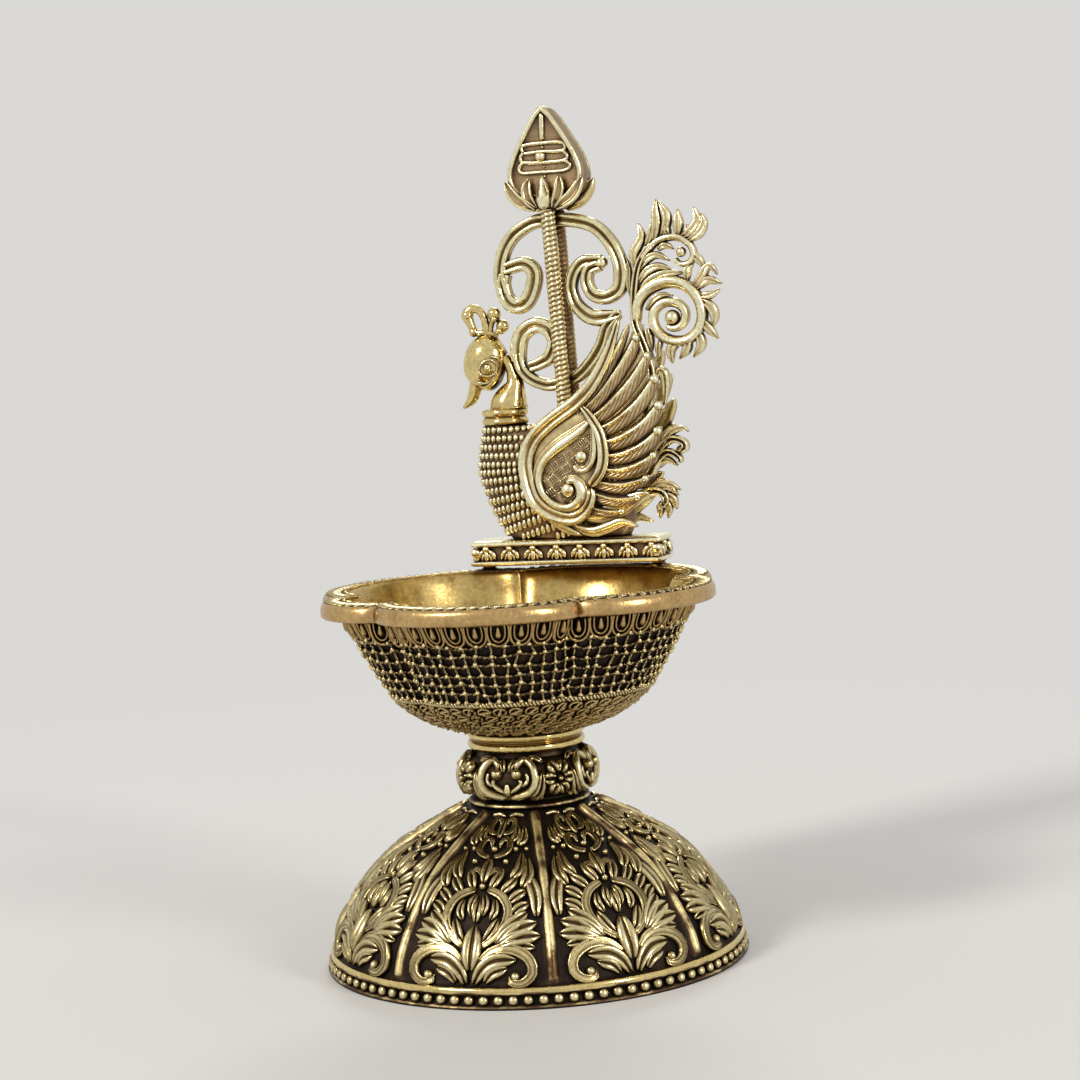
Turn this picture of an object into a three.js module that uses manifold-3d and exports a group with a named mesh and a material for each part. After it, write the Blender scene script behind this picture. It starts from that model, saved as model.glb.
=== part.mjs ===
// Peacock oil lamp in cast brass, about 76 mm wide and 154 mm tall.
// A ribbed dome base carries a carved knop, a ringed collar and a lobed oil bowl.
// On the back rim a plinth carries a peacock with two wings, a leafy tail plume,
// and a spear whose shaft straddles a large scroll ring.
// Millimetres, Z up, the origin in the middle of the foot, the front towards -Y.

import * as THREE from 'three';
import { mergeVertices } from 'three/addons/utils/BufferGeometryUtils.js';
import Module from 'manifold-3d';

const wasm = await Module();
wasm.setup();

// Driving dimensions
const BASE_R = 38;
const DOME_TOP_Z = 28.2;
const DOME_WALL = 1.9;
const RIB_COUNT = 8;
const RIB_HEIGHT = 1;
const PANEL_MARGIN = 1.3;
const SINK = 0.6;
const BOLT_R = 2.1;
const CLEAR = 0.3;
const KNOP_TOP_Z = 38.1;
const COLLAR_TOP_Z = 41.8;
const RIM_R = 37.6;
const RIM_TOP_Z = 66.9;
const NET_RELIEF = 0.7;
const RIM_BAND = 4.4;
const CUSP_DEPTH = 5.4;
const FLOOR_Z = 45;
const PLINTH_X = 0.65;
const PLINTH_Z = 68;
const PLINTH_TOP_Z = 72.8;
const BIRD_Y = 29.6;
const BIRD_X = 0.45;
const ROPE_R = 1.4;
const STRAP_W = 1.25;
const STRAP_D = 1.3;
const WING_OFFSET = 6.2;

// Lobes of the bowl, as angles from the front towards +X, each with its own reach
const LOBES = [
  { from: -66, to: -29, reach: -1.4, steps: 7 },
  { from: -29, to: 37, reach: 0, steps: 12 },
  { from: 37, to: 104, reach: 0, steps: 11 },
  { from: 104, to: 198, reach: 0, steps: 14 },
  { from: 198, to: 294, reach: 0, steps: 14 },
];

const BRASS = { color: 0x9a7b3a, roughness: 0.38, metalness: 1 };
const DARK_BRASS = { color: 0x6f5a33, roughness: 0.5, metalness: 1 };
const BRIGHT_BRASS = { color: 0xd0a548, roughness: 0.24, metalness: 1 };
const STEEL = { color: 0x8f9296, roughness: 0.4, metalness: 1 };

const lamp = new THREE.Group();

function place(name, geometry, look, parent = lamp) {
  const mesh = new THREE.Mesh(geometry, new THREE.MeshStandardMaterial(look));
  mesh.name = name;
  parent.add(mesh);
  return mesh;
}

// A value that is a number, or a list read evenly from 0 to 1
function along(value, t) {
  if (typeof value === 'number') return value;
  const place = t * (value.length - 1);
  const k = Math.min(Math.floor(place), value.length - 2);
  return value[k] + (value[k + 1] - value[k]) * (place - k);
}

function signedVolume(positions, index) {
  let sum = 0;
  const corner = (k) => new THREE.Vector3().fromArray(positions, 3 * index[k]);
  for (let k = 0; k < index.length; k += 3) {
    sum += corner(k).dot(corner(k + 1).cross(corner(k + 2)));
  }
  return sum;
}

// One closed body through a row of rings: capped at both ends, or wrapped round
function bodyFromRings(rings, wrap = false) {
  const n = rings[0].length;
  const positions = rings.flat().flatMap((p) => [p.x, p.y, p.z]);
  const index = [];
  const rows = wrap ? rings.length : rings.length - 1;
  for (let i = 0; i < rows; i++) {
    const a = i * n;
    const b = ((i + 1) % rings.length) * n;
    for (let j = 0; j < n; j++) {
      const k = (j + 1) % n;
      index.push(a + j, b + j, b + k, a + j, b + k, a + k);
    }
  }
  if (!wrap) {
    for (const end of [0, rings.length - 1]) {
      const middle = new THREE.Vector3();
      rings[end].forEach((p) => middle.addScaledVector(p, 1 / n));
      const m = positions.length / 3;
      positions.push(middle.x, middle.y, middle.z);
      for (let j = 0; j < n; j++) {
        const a = end * n + j;
        const b = end * n + ((j + 1) % n);
        if (end === 0) index.push(m, a, b);
        else index.push(m, b, a);
      }
    }
  }
  if (signedVolume(positions, index) < 0) {
    for (let k = 0; k < index.length; k += 3) {
      [index[k + 1], index[k + 2]] = [index[k + 2], index[k + 1]];
    }
  }
  const geometry = new THREE.BufferGeometry();
  geometry.setAttribute('position', new THREE.Float32BufferAttribute(positions, 3));
  geometry.setIndex(index);
  return geometry;
}

// A turned body: the profile goes from axis to axis, or closes on itself when looped
function turned(profile, angles, looped = false, shape = (angle, r, z) => [r, z]) {
  const rings = profile.map(([r, z]) => angles.map((angle) => {
    const [rr, zz] = shape(angle, r, z);
    return new THREE.Vector3(rr * Math.sin(angle), -rr * Math.cos(angle), zz);
  }));
  return bodyFromRings(rings, looped);
}

function evenAngles(count) {
  return Array.from({ length: count }, (_, k) => (2 * Math.PI * k) / count);
}

// A flattened stroke along a plane curve through [x, z] points, at depth y
function stroke(points, y, widths, depths, steps, sides = 6) {
  const knots = points.map(([x, z]) => new THREE.Vector3(x, 0, z));
  const curve = new THREE.CatmullRomCurve3(knots, false, 'centripetal');
  const rings = [];
  for (let i = 0; i <= steps; i++) {
    const t = i / steps;
    const p = curve.getPointAt(t);
    const d = curve.getTangentAt(t);
    const ring = [];
    for (let j = 0; j < sides; j++) {
      const a = (2 * Math.PI * j) / sides;
      const across = along(widths, t) * Math.cos(a);
      const deep = along(depths, t) * Math.sin(a);
      ring.push(new THREE.Vector3(p.x - d.z * across, along(y, t) + deep, p.z + d.x * across));
    }
    rings.push(ring);
  }
  return bodyFromRings(rings);
}

// A leaf is a stroke that swells and comes to a point
function leaf(points, y, width, depth, steps = 4) {
  const widths = [0.6, 0.95, 1, 0.7, 0.18].map((k) => k * width);
  const depths = [0.9, 1, 0.9, 0.7, 0.3].map((k) => k * depth);
  return stroke(points, y, widths, depths, steps, 4);
}

function ball(x, y, z, r) {
  return new THREE.SphereGeometry(r, 7, 4).rotateX(Math.PI / 2).translate(x, y, z);
}

// A slab cut from a plate: a smooth outline in X and Z, between two depths
function slab(outline, front, back) {
  const curve = new THREE.SplineCurve(outline.map(([x, z]) => new THREE.Vector2(x, z)));
  const shape = new THREE.Shape(curve.getPoints(outline.length));
  const options = { depth: back - front, bevelEnabled: false, steps: 1 };
  return new THREE.ExtrudeGeometry(shape, options).rotateX(Math.PI / 2).translate(0, back, 0);
}

// Joins and cuts
function solid(geometry) {
  const bare = geometry.clone();
  bare.deleteAttribute('normal');
  bare.deleteAttribute('uv');
  const merged = mergeVertices(bare, 1e-5);
  return new wasm.Manifold(new wasm.Mesh({
    numProp: 3,
    vertProperties: new Float32Array(merged.attributes.position.array),
    triVerts: new Uint32Array(merged.index.array),
  }));
}

function geometryOf(body) {
  const mesh = body.getMesh();
  const geometry = new THREE.BufferGeometry();
  geometry.setAttribute('position', new THREE.BufferAttribute(new Float32Array(mesh.vertProperties), 3));
  geometry.setIndex(Array.from(mesh.triVerts));
  return geometry;
}

function joined(pieces) {
  return pieces.map(solid).reduce((whole, piece) => whole.add(piece));
}

// Wall of the dome between the foot moulding and the top plate, as radius and height
const DOME_CURVE = [
  [36, 3.7], [34.8, 7.6], [32.2, 11.9], [29, 16], [25, 19.8], [18.9, 23.6], [11.2, 27.8],
];

// Radius of a wall, given as radius and height pairs that rise, at one height
function radiusAt(curve, z) {
  const above = curve.findIndex((point) => point[1] >= z);
  const k = above < 0 ? curve.length - 1 : Math.max(above, 1);
  const [r0, z0] = curve[k - 1];
  const [r1, z1] = curve[k];
  return r0 + ((r1 - r0) * (z - z0)) / (z1 - z0);
}

// Direction out of such a wall, as parts along the radius and up
function wayOut(curve, z) {
  const lean = radiusAt(curve, z + 0.6) - radiusAt(curve, z - 0.6);
  return new THREE.Vector2(1.2, -lean).normalize();
}

// A point over the dome: up runs from 0 at the foot to 1 at the collar
function onDome(angle, up, lift) {
  const [bottom, top] = [DOME_CURVE[0][1], DOME_CURVE.at(-1)[1]];
  const z = bottom + (top - bottom) * up;
  const out = wayOut(DOME_CURVE, z);
  const r = radiusAt(DOME_CURVE, z) + out.x * lift;
  return new THREE.Vector3(r * Math.sin(angle), -r * Math.cos(angle), z + out.y * lift);
}

// The same for one panel, where across runs from -1 to 1 between two ribs
function onPanel(across, up, lift) {
  const r = -onDome(0, up, 0).y;
  return onDome(across * (Math.PI / RIB_COUNT - PANEL_MARGIN / r), up, lift);
}

// A low ridge of chased relief with a pointed crest, along a line on a skin
function chased(points, widths, heights, steps, skin) {
  const curve = new THREE.CatmullRomCurve3(points.map(([a, b]) => new THREE.Vector3(a, b, 0)));
  const rings = [];
  for (let i = 0; i <= steps; i++) {
    const t = i / steps;
    const at = curve.getPoint(t);
    const ahead = curve.getPoint(Math.min(t + 0.01, 1));
    const behind = curve.getPoint(Math.max(t - 0.01, 0));
    const foot = skin(at.x, at.y, -SINK);
    const out = skin(at.x, at.y, along(heights, t)).sub(foot);
    const travel = skin(ahead.x, ahead.y, 0).sub(skin(behind.x, behind.y, 0));
    const side = travel.cross(out).setLength(along(widths, t));
    rings.push([foot.clone().add(side), foot.clone().add(out), foot.clone().sub(side)]);
  }
  return bodyFromRings(rings);
}

// Main strokes of a panel: the foot scroll, fan leaf and arch of one half, and the middle leaves
const HALF_PANEL = [
  { line: [[0.06, 0.06], [0.36, 0.22], [0.76, 0.18], [0.78, 0.06], [0.54, 0.05]],
    wide: [0.9, 1.5, 1.4, 1.3], high: [0.6, 1.1, 1.1, 1], steps: 5 },
  { line: [[0.34, 0.25], [0.62, 0.32], [0.92, 0.36]], wide: [1, 2.8, 1.2], high: [0.5, 1.2, 0.6], steps: 2 },
  { line: [[0.22, 0.27], [0.56, 0.43], [0.12, 0.59]], wide: [1.2, 1.6, 1.1], high: [0.6, 1.2, 0.9], steps: 3 },
];
const MIDDLE_LEAVES = [
  { line: [[0, 0.11], [0, 0.25], [0, 0.38]], wide: [0.7, 2.7, 0.5], high: [0.5, 1.4, 0.5], steps: 2 },
  { line: [[0, 0.63], [0, 0.74], [0, 0.88]], wide: [0.8, 2.6, 0.7], high: [0.5, 1.2, 0.6], steps: 2 },
];

// The relief of all eight panels
function domeRelief() {
  const mirror = (stroke) => ({ ...stroke, line: stroke.line.map(([across, up]) => [-across, up]) });
  const panel = [...MIDDLE_LEAVES, ...HALF_PANEL, ...HALF_PANEL.map(mirror)];
  const strokes = panel.map(({ line, wide, high, steps }) => chased(line, wide, high, steps, onPanel));
  const turns = Array.from({ length: RIB_COUNT }, (_, k) => (2 * Math.PI * k) / RIB_COUNT);
  return turns.flatMap((turn) => strokes.map((stroke) => stroke.clone().rotateZ(turn)));
}

// Base: a hollow dome with a bead moulding at the foot, raised ribs and chased panels
function baseDome() {
  const outer = [
    [BASE_R, 0], [37.9, 1.6], [37.3, 2.4], [37.2, 3.1], ...DOME_CURVE, [10.4, DOME_TOP_Z],
  ];
  const inner = [[35.7, -1], [35.2, 0], [32.6, 8], [26.6, 15.6], [18.6, 21.4], [9, DOME_TOP_Z - DOME_WALL]];
  const bore = [[BOLT_R + CLEAR, 25], [BOLT_R + CLEAR, 30]];
  const panel = 360 / RIB_COUNT;
  const steps = [0.5, 0.542, 0.73, 1, 1.27, 1.458];
  const angles = Array.from({ length: RIB_COUNT * steps.length }, (_, k) =>
    THREE.MathUtils.degToRad(panel * (Math.floor(k / steps.length) + steps[k % steps.length])));
  const ribbed = (angle, r, z) => {
    const onRib = angles.indexOf(angle) % steps.length === 0;
    const onWall = DOME_CURVE.slice(0, -1).some((point) => point[0] === r && point[1] === z);
    const out = wayOut(DOME_CURVE, z);
    const rise = onRib && onWall ? RIB_HEIGHT : 0;
    return [r + out.x * rise, z + out.y * rise];
  };
  const body = solid(turned(outer, angles, false, ribbed)).add(joined(domeRelief()));
  const cavity = solid(turned(inner, evenAngles(24)));
  return geometryOf(body.subtract(cavity).subtract(solid(turned(bore, evenAngles(16)))));
}

// Knop: a flange plate, a bulged band of eight flowers and a short neck, bored for the stud
function stemKnop() {
  const profile = [
    [BOLT_R + CLEAR, DOME_TOP_Z], [10.4, DOME_TOP_Z], [10.6, 29], [9.4, 29.9], [11, 30.8],
    [12.1, 32.2], [12.4, 33.8], [11.8, 35.4], [9.5, 36.9], [9.2, KNOP_TOP_Z],
    [BOLT_R + CLEAR, KNOP_TOP_Z],
  ];
  const flowered = (angle, r, z) => [r > 10.7 ? r + 0.45 * Math.cos(8 * angle) : r, z];
  return turned(profile, evenAngles(24), true, flowered);
}

// Collar: two round rings side by side
function stemCollar() {
  const profile = [
    [BOLT_R + CLEAR, KNOP_TOP_Z], [9.6, KNOP_TOP_Z], [10.6, 38.6], [10.6, 39.5], [9.8, 39.95],
    [10.6, 40.4], [10.6, 41.3], [9.8, COLLAR_TOP_Z], [BOLT_R + CLEAR, COLLAR_TOP_Z],
  ];
  return turned(profile, evenAngles(20), true);
}

// Indent of the bowl's outline at an angle in degrees, at full height
function indentAt(degrees) {
  const turn = (((degrees - LOBES[0].from) % 360) + 360) % 360 + LOBES[0].from;
  const lobe = LOBES.find((l) => turn >= l.from - 1e-6 && turn <= l.to + 1e-6);
  const swell = Math.sqrt(Math.abs(Math.sin((Math.PI * (turn - lobe.from)) / (lobe.to - lobe.from))));
  return CUSP_DEPTH * (1 - swell) - lobe.reach * swell;
}

// Outer wall of the bowl where a lobe is widest, as radius and height
const BOWL_CURVE = [[9.8, COLLAR_TOP_Z], [15.5, 43.6], [20, 45.9], [23.8, 48.9], [28.4, 55.2], [33.6, 64.1]];

function lobedRadius(degrees, r, z) {
  const rise = THREE.MathUtils.clamp((z - 43.4) / (RIM_TOP_Z - 43.4), 0, 1);
  return r - indentAt(degrees) * rise ** 0.8;
}

// Bowl: five lobes that fade towards the foot, a flat rim band and an open well.
// Outside it has a cord round the waist, a net of raised crossings and a thicker band under the rim.
function bowl() {
  const netRows = [51.4, 54.2, 57];
  const profile = [
    [9.8, COLLAR_TOP_Z], [17.2, 44.4], [22.9, 48.1], [24.4, 48.7], [24.2, 49.5],
    ...netRows.map((z) => [radiusAt(BOWL_CURVE, z), z]), [30.8, 59.6], [31.9, 60.1], [34.2, 64.1],
    [RIM_R, 64.2], [RIM_R + 0.2, 65.5], [RIM_R - 0.3, RIM_TOP_Z], [RIM_R - RIM_BAND, RIM_TOP_Z],
    [32.3, 65.4], [29.4, 59], [24.8, 52], [19, 47.6], [9, FLOOR_Z],
  ];
  const angles = LOBES.flatMap((lobe) => Array.from({ length: lobe.steps }, (_, k) =>
    THREE.MathUtils.degToRad(lobe.from + ((lobe.to - lobe.from) * k) / lobe.steps)));
  const netted = (angle, r, z) => {
    const row = netRows.indexOf(z);
    const crossing = row >= 0 && (row + angles.indexOf(angle)) % 2 === 0;
    return [lobedRadius(THREE.MathUtils.radToDeg(angle), r, z) + (crossing ? NET_RELIEF : 0), z];
  };
  return turned(profile, angles, false, netted);
}

// Tie stud under the bowl, with a washer and a hexagon nut inside the dome
function tieStud() {
  const length = COLLAR_TOP_Z - 21.5;
  const geometry = new THREE.CylinderGeometry(BOLT_R, BOLT_R, length, 16);
  return geometry.rotateX(Math.PI / 2).translate(0, 0, 21.5 + length / 2);
}

function flatRing(outerR, from, to) {
  const profile = [
    [BOLT_R + CLEAR, from], [outerR, from], [outerR, to], [BOLT_R + CLEAR, to],
  ];
  return turned(profile, evenAngles(14), true);
}

function hexNut(acrossFlats, from, to) {
  const hole = BOLT_R + CLEAR;
  const profile = [[hole, from], [acrossFlats, from], [acrossFlats, to], [hole, to]];
  const sixSided = (angle, r, z) => {
    const fromFlat = ((angle + 1e-9) % (Math.PI / 3)) - Math.PI / 6;
    return [r > hole ? acrossFlats / 2 / Math.cos(fromFlat) : r, z];
  };
  return turned(profile, evenAngles(12), true, sixSided);
}

// Plinth: a moulded block with a sunk frieze and a bud at each corner
function plinth() {
  const layers = [
    [0, 18.6, 4.5], [0.7, 19, 4.9], [1.1, 18.3, 4.2], [1.3, 17.8, 3.8],
    [3.4, 17.8, 3.8], [3.7, 18.3, 4.2], [4.3, 18.9, 4.8], [PLINTH_TOP_Z - PLINTH_Z, 18.6, 4.5],
  ];
  const rings = layers.map(([up, x, y]) => {
    const c = 0.5;
    const corners = [
      [x - c, -y], [x, c - y], [x, y - c], [x - c, y], [c - x, y], [-x, y - c], [-x, c - y], [c - x, -y],
    ];
    return corners.map(([a, b]) => new THREE.Vector3(PLINTH_X + a, BIRD_Y + b, PLINTH_Z + up));
  });
  const buds = [];
  for (const sx of [-1, 1]) {
    for (const sy of [-1, 1]) {
      buds.push(ball(PLINTH_X + sx * 18, BIRD_Y + sy * 4, PLINTH_Z + 2.35, 1.1));
    }
  }
  return geometryOf(joined([bodyFromRings(rings), ...buds]));
}

// Foot of the plinth: a small turned pad that stands on the rim band
function plinthFoot(x, y) {
  const profile = [[1.7, RIM_TOP_Z], [1.8, 67.2], [1.3, 67.6], [1.5, PLINTH_Z]];
  return turned(profile, evenAngles(10)).translate(x, y, 0);
}

// Body: a full breast that narrows to the throat, wider behind under the wings
function bodyShell(grow = 0) {
  const sections = [
    [PLINTH_TOP_Z, -11, 13, 4], [75, -12.7, 14, 4.7], [78, -14.2, 14.2, 5.2], [82, -15.8, 13.8, 5.6],
    [86, -16.8, 12.4, 5.5], [89.5, -16.5, 8, 5.1], [92.2, -15.9, -0.5, 4.6], [94.8, -15.3, -6.9, 4.2],
  ];
  const rings = sections.map(([z, left, right, deep], k) => {
    const end = k === 0 ? -grow : k === sections.length - 1 ? grow : 0;
    const half = (right - left) / 2 + grow;
    return evenAngles(18).map((a) => new THREE.Vector3(
      (left + right) / 2 + half * Math.cos(a),
      BIRD_Y + (deep + grow) * Math.sign(Math.sin(a)) * Math.abs(Math.sin(a)) ** 0.85,
      z + end,
    ));
  });
  return bodyFromRings(rings);
}

function neckCollar() {
  const profile = [
    [3.9, 94.8], [4.4, 95.2], [4.4, 95.9], [3.9, 96.3], [4.4, 96.7], [4.4, 97.4], [3.9, 97.8],
  ];
  return turned(profile, evenAngles(16)).translate(-11.05, BIRD_Y, 0);
}

// Head: an egg tilted towards the beak, which hooks down and forward
function headShell(grow = 0) {
  const widths = [1.4, 3.3, 4.1, 4.2, 4.05, 3.5, 1.5].map((w) => w + grow);
  const depths = [1.3, 3, 3.7, 3.8, 3.6, 3, 1.3].map((w) => w + grow);
  const axis = [[-12.4, 112 + grow], [-13.5, 109.3], [-14.5, 106.3], [-15.3, 101.6 - grow]];
  const egg = stroke(axis, BIRD_Y, widths, depths, 7, 10);
  const beakWidths = [1.8, 1.3, 1.2, 1.1, 0.6].map((w) => w + grow);
  const beak = stroke([[-16, 104.5], [-16.8, 101.8], [-17.5, 100], [-18.9, 98.5]], BIRD_Y, beakWidths, beakWidths, 6);
  return joined([egg, beak]);
}

function neck() {
  const path = [[-10.1, 97.8], [-10.1, 98.5], [-9.3, 100.6], [-8.75, 102.4], [-8.85, 103.6], [-9.15, 104.9],
    [-9.7, 106.3], [-10.5, 107.4]];
  const widths = [3.6, 3.5, 2.9, 2, 1.3, 1, 1, 1.1];
  const depths = [3.6, 3.4, 2.9, 2.2, 1.7, 1.5, 1.5, 1.4];
  const body = solid(stroke(path, BIRD_Y, widths, depths, 9, 12));
  return geometryOf(body.subtract(headShell(CLEAR)));
}

// Crest: an open loop and two ball-ended curls on the crown
function crest() {
  const pieces = [
    stroke([[-13.8, 110.8], [-13.9, 114], [-14.4, 115.8], [-15.3, 116.9], [-16.5, 117.1], [-17.6, 116.1],
      [-17.2, 114.9], [-16.5, 113.2]], BIRD_Y, [0.8, 0.7, 0.75, 0.75, 0.85, 1.05, 0.95, 0.7], 0.9, 10, 4),
    stroke([[-13.2, 110.5], [-12.9, 113.4], [-12, 115.6]], BIRD_Y, [0.9, 0.65, 0.65], 0.85, 2, 4),
    stroke([[-12.6, 110.5], [-11.8, 112.4], [-10.5, 113.3]], BIRD_Y, [0.9, 0.65, 0.65], 0.85, 2, 4),
    ball(-12.1, BIRD_Y, 115.9, 1.35),
    ball(-10.5, BIRD_Y, 113.5, 1.3),
    ball(-16.4, BIRD_Y, 112.7, 1),
    stroke([[-16.4, 112.6], [-14.4, 112.5], [-12, 112.1]], BIRD_Y, 0.75, 0.9, 4),
  ];
  return geometryOf(joined(pieces).subtract(headShell(CLEAR)));
}

// Wing: a heart-shaped shoulder plate with a raised band, and feathers that fan up and back
function wing(side) {
  const y = BIRD_Y + side * WING_OFFSET;
  const outline = [
    [7.8, 95.6], [9.4, 92.3], [9.8, 88.3], [8.8, 84.7], [6.9, 82.2], [6.6, 79.3], [4.9, 77.2],
    [2.8, 76.6], [-1.4, 78.8], [-4.3, 82.8], [-5.2, 87.9], [-4, 91.2], [-0.4, 94.3], [4.6, 95.7],
  ];
  const pieces = [slab(outline, y - 1.3, y + 1.3)];
  const band = [
    [7.2, 82.6], [7, 79], [3.2, 76.6], [-1.6, 78.3], [-5, 84.2], [-5.6, 88.6], [-3.6, 92.6],
    [0.6, 95.6], [5.5, 98.4], [9.4, 102.8], [12.4, 108], [14.7, 113.6],
  ];
  const tipY = y - side * 1.5;
  pieces.push(stroke(band, [y, y, y, tipY], [0.7, 1, 1.1, 1.2, 1.2, 1, 0.4], [1.4, 1.6, 1.6, 1.3, 0.7], 11, 4));
  const feathers = [
    [[5.4, 94.6], [12.8, 100.2], [18, 110.3]], [[6.6, 93.4], [14.8, 98], [19.7, 106.5]],
    [[7.6, 91.6], [16, 95], [20.8, 102.2]], [[8.4, 89.6], [16.4, 91.6], [21.5, 97.1]],
    [[8.6, 87.4], [15.8, 88], [20.9, 92.5]], [[8, 85.4], [14.6, 84.8], [19.6, 87.9]],
    [[7, 83.4], [13, 81.8], [18, 83.3]], [[6.4, 81.4], [11.4, 79.4], [16.3, 80]],
    [[5.4, 79.4], [9.4, 77.4], [13.2, 77.5]],
  ];
  for (const points of feathers) {
    pieces.push(stroke(points, [y, y, tipY], [1.1, 1.7, 1.8, 1.5, 0.5], [1.3, 1.3, 1.2, 1, 0.5], 3, 4));
  }
  pieces.push(ball(5, y + side * 0.9, 88, 1.2), ball(2.1, y + side * 0.8, 82.3, 1.3));
  return geometryOf(joined(pieces).subtract(solid(bodyShell(CLEAR))));
}

// Skirt leaves that sweep back along the foot of the bird
function skirtLeaf(side) {
  const y = BIRD_Y + side * 5.1;
  const sweep = stroke([[-1.8, 75], [3, 73.9], [8, 74], [12.6, 74.8], [17, 77.2]],
    [y, y, BIRD_Y + side * 4], [0.4, 0.8, 0.9, 0.9, 0.4], [0.8, 1.2, 1.2, 1, 0.6], 8);
  return geometryOf(solid(sweep).subtract(solid(bodyShell(CLEAR))).subtract(solid(bodyRest())));
}

// Room above the plinth that the skirt leaves keep clear of
function bodyRest() {
  const box = new THREE.BoxGeometry(40, 12, 1);
  return box.translate(PLINTH_X, BIRD_Y, PLINTH_TOP_Z + CLEAR - 0.5);
}

// Tail plume: a stem, a large and a small volute, each with a ball, and a fringe of leaves
function tailPlume() {
  const y = BIRD_Y;
  const pieces = [
    stroke([[12, 87], [16.4, 94], [18.3, 101], [18, 107.2], [16.5, 111.6], [16.5, 116], [17.9, 121.8],
      [19.9, 126], [21.4, 130.5]], y, [1.4, 1.3, 1.1, 0.9, 1, 1.2, 1], [1.6, 1.8, 1.6, 1.3], 10, 4),
    stroke([[16.2, 112.6], [17, 116.3], [19.9, 118.9], [24.4, 119.4], [27.8, 116.9], [28.5, 112.9],
      [26.8, 109.9], [23.5, 108.9], [20.5, 110.6], [20.1, 113.4], [21.4, 115.2]], y,
      [0.9, 0.9, 0.85, 0.75, 0.7, 0.6], [1.8, 1.8, 1.6, 1.4], 15, 4),
    stroke([[21, 114.8], [22.6, 115.6], [24.6, 115.2], [25.3, 113.3], [23.6, 112.6]], y, 0.6, 1.4, 5, 4),
    stroke([[18, 121.6], [19.6, 125.4], [22.1, 127.6], [24.9, 128], [27.5, 126.6], [28, 124.4],
      [26, 123.2]], y, [1, 0.8, 0.7], 1.5, 7, 4),
    ball(23.2, y, 113, 1.3),
    ball(25.2, y, 124.4, 1.5),
  ];
  const leaves = [
    [[19.6, 126.5], [21.9, 131.3], [21.4, 135.4]], [[23.4, 127.6], [25.1, 130.7], [25.3, 133.3]],
    [[26.2, 127.2], [28.7, 130], [28.6, 133]], [[18.2, 122.2], [16.9, 127], [17.6, 131.2]],
    [[25.6, 119.2], [28.7, 122.4], [31, 121.6]], [[26.8, 117.6], [30.4, 119], [33.2, 118.6]],
    [[28, 115.4], [30.6, 114.7], [31.3, 111.8]], [[28, 112.2], [29.8, 110.4], [31.4, 108.9]],
    [[26.9, 110.6], [27.9, 107.9], [26.6, 105.9]], [[24.8, 109.4], [25.2, 107], [24.1, 105.5]],
    [[22.8, 109.4], [22, 107], [22.2, 104.9]], [[17.2, 111.6], [19, 108.9], [20.6, 106.8]],
    [[18, 120.4], [21.4, 121.9], [25.2, 121.2]],
  ];
  for (const points of leaves) pieces.push(leaf(points, y, 1.15, 1.3, 3));
  return geometryOf(joined(pieces).subtract(solid(bodyShell(CLEAR))));
}

// Leaf curls behind the body
function tailCurlUpper() {
  const pieces = [
    stroke([[11, 82], [16.4, 83.6], [18.7, 86.6], [21, 88], [22.9, 86.8]], BIRD_Y, [1.2, 1.1, 1, 0.8, 0.4], 1.5, 9),
    stroke([[18, 86], [19.8, 89.4], [22.6, 90.4], [24.1, 89.1], [23.2, 88.3]], BIRD_Y, [0.9, 0.8, 0.7], 1.3, 8),
    leaf([[19.4, 88.8], [21.4, 92], [24.3, 92.2]], BIRD_Y, 0.9, 1.2),
  ];
  return geometryOf(joined(pieces).subtract(solid(bodyShell(CLEAR))));
}

function tailCurlLower() {
  const pieces = [
    stroke([[11, 77], [14.6, 79.8], [17, 81], [19.2, 80.7], [20.1, 79.2], [18.9, 77.9]], BIRD_Y,
      [1.2, 1, 0.9, 0.7], 1.5, 9),
    leaf([[16.2, 80.2], [18.7, 82.2], [22.7, 80.9]], BIRD_Y, 0.8, 1.2),
    leaf([[18.8, 80.6], [21.4, 79.4], [21.2, 76.9]], BIRD_Y, 0.9, 1.2),
    leaf([[19.2, 79], [19.4, 77.2], [18.9, 75.6]], BIRD_Y, 0.8, 1.2),
  ];
  return geometryOf(joined(pieces).subtract(solid(bodyShell(CLEAR))));
}

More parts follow.
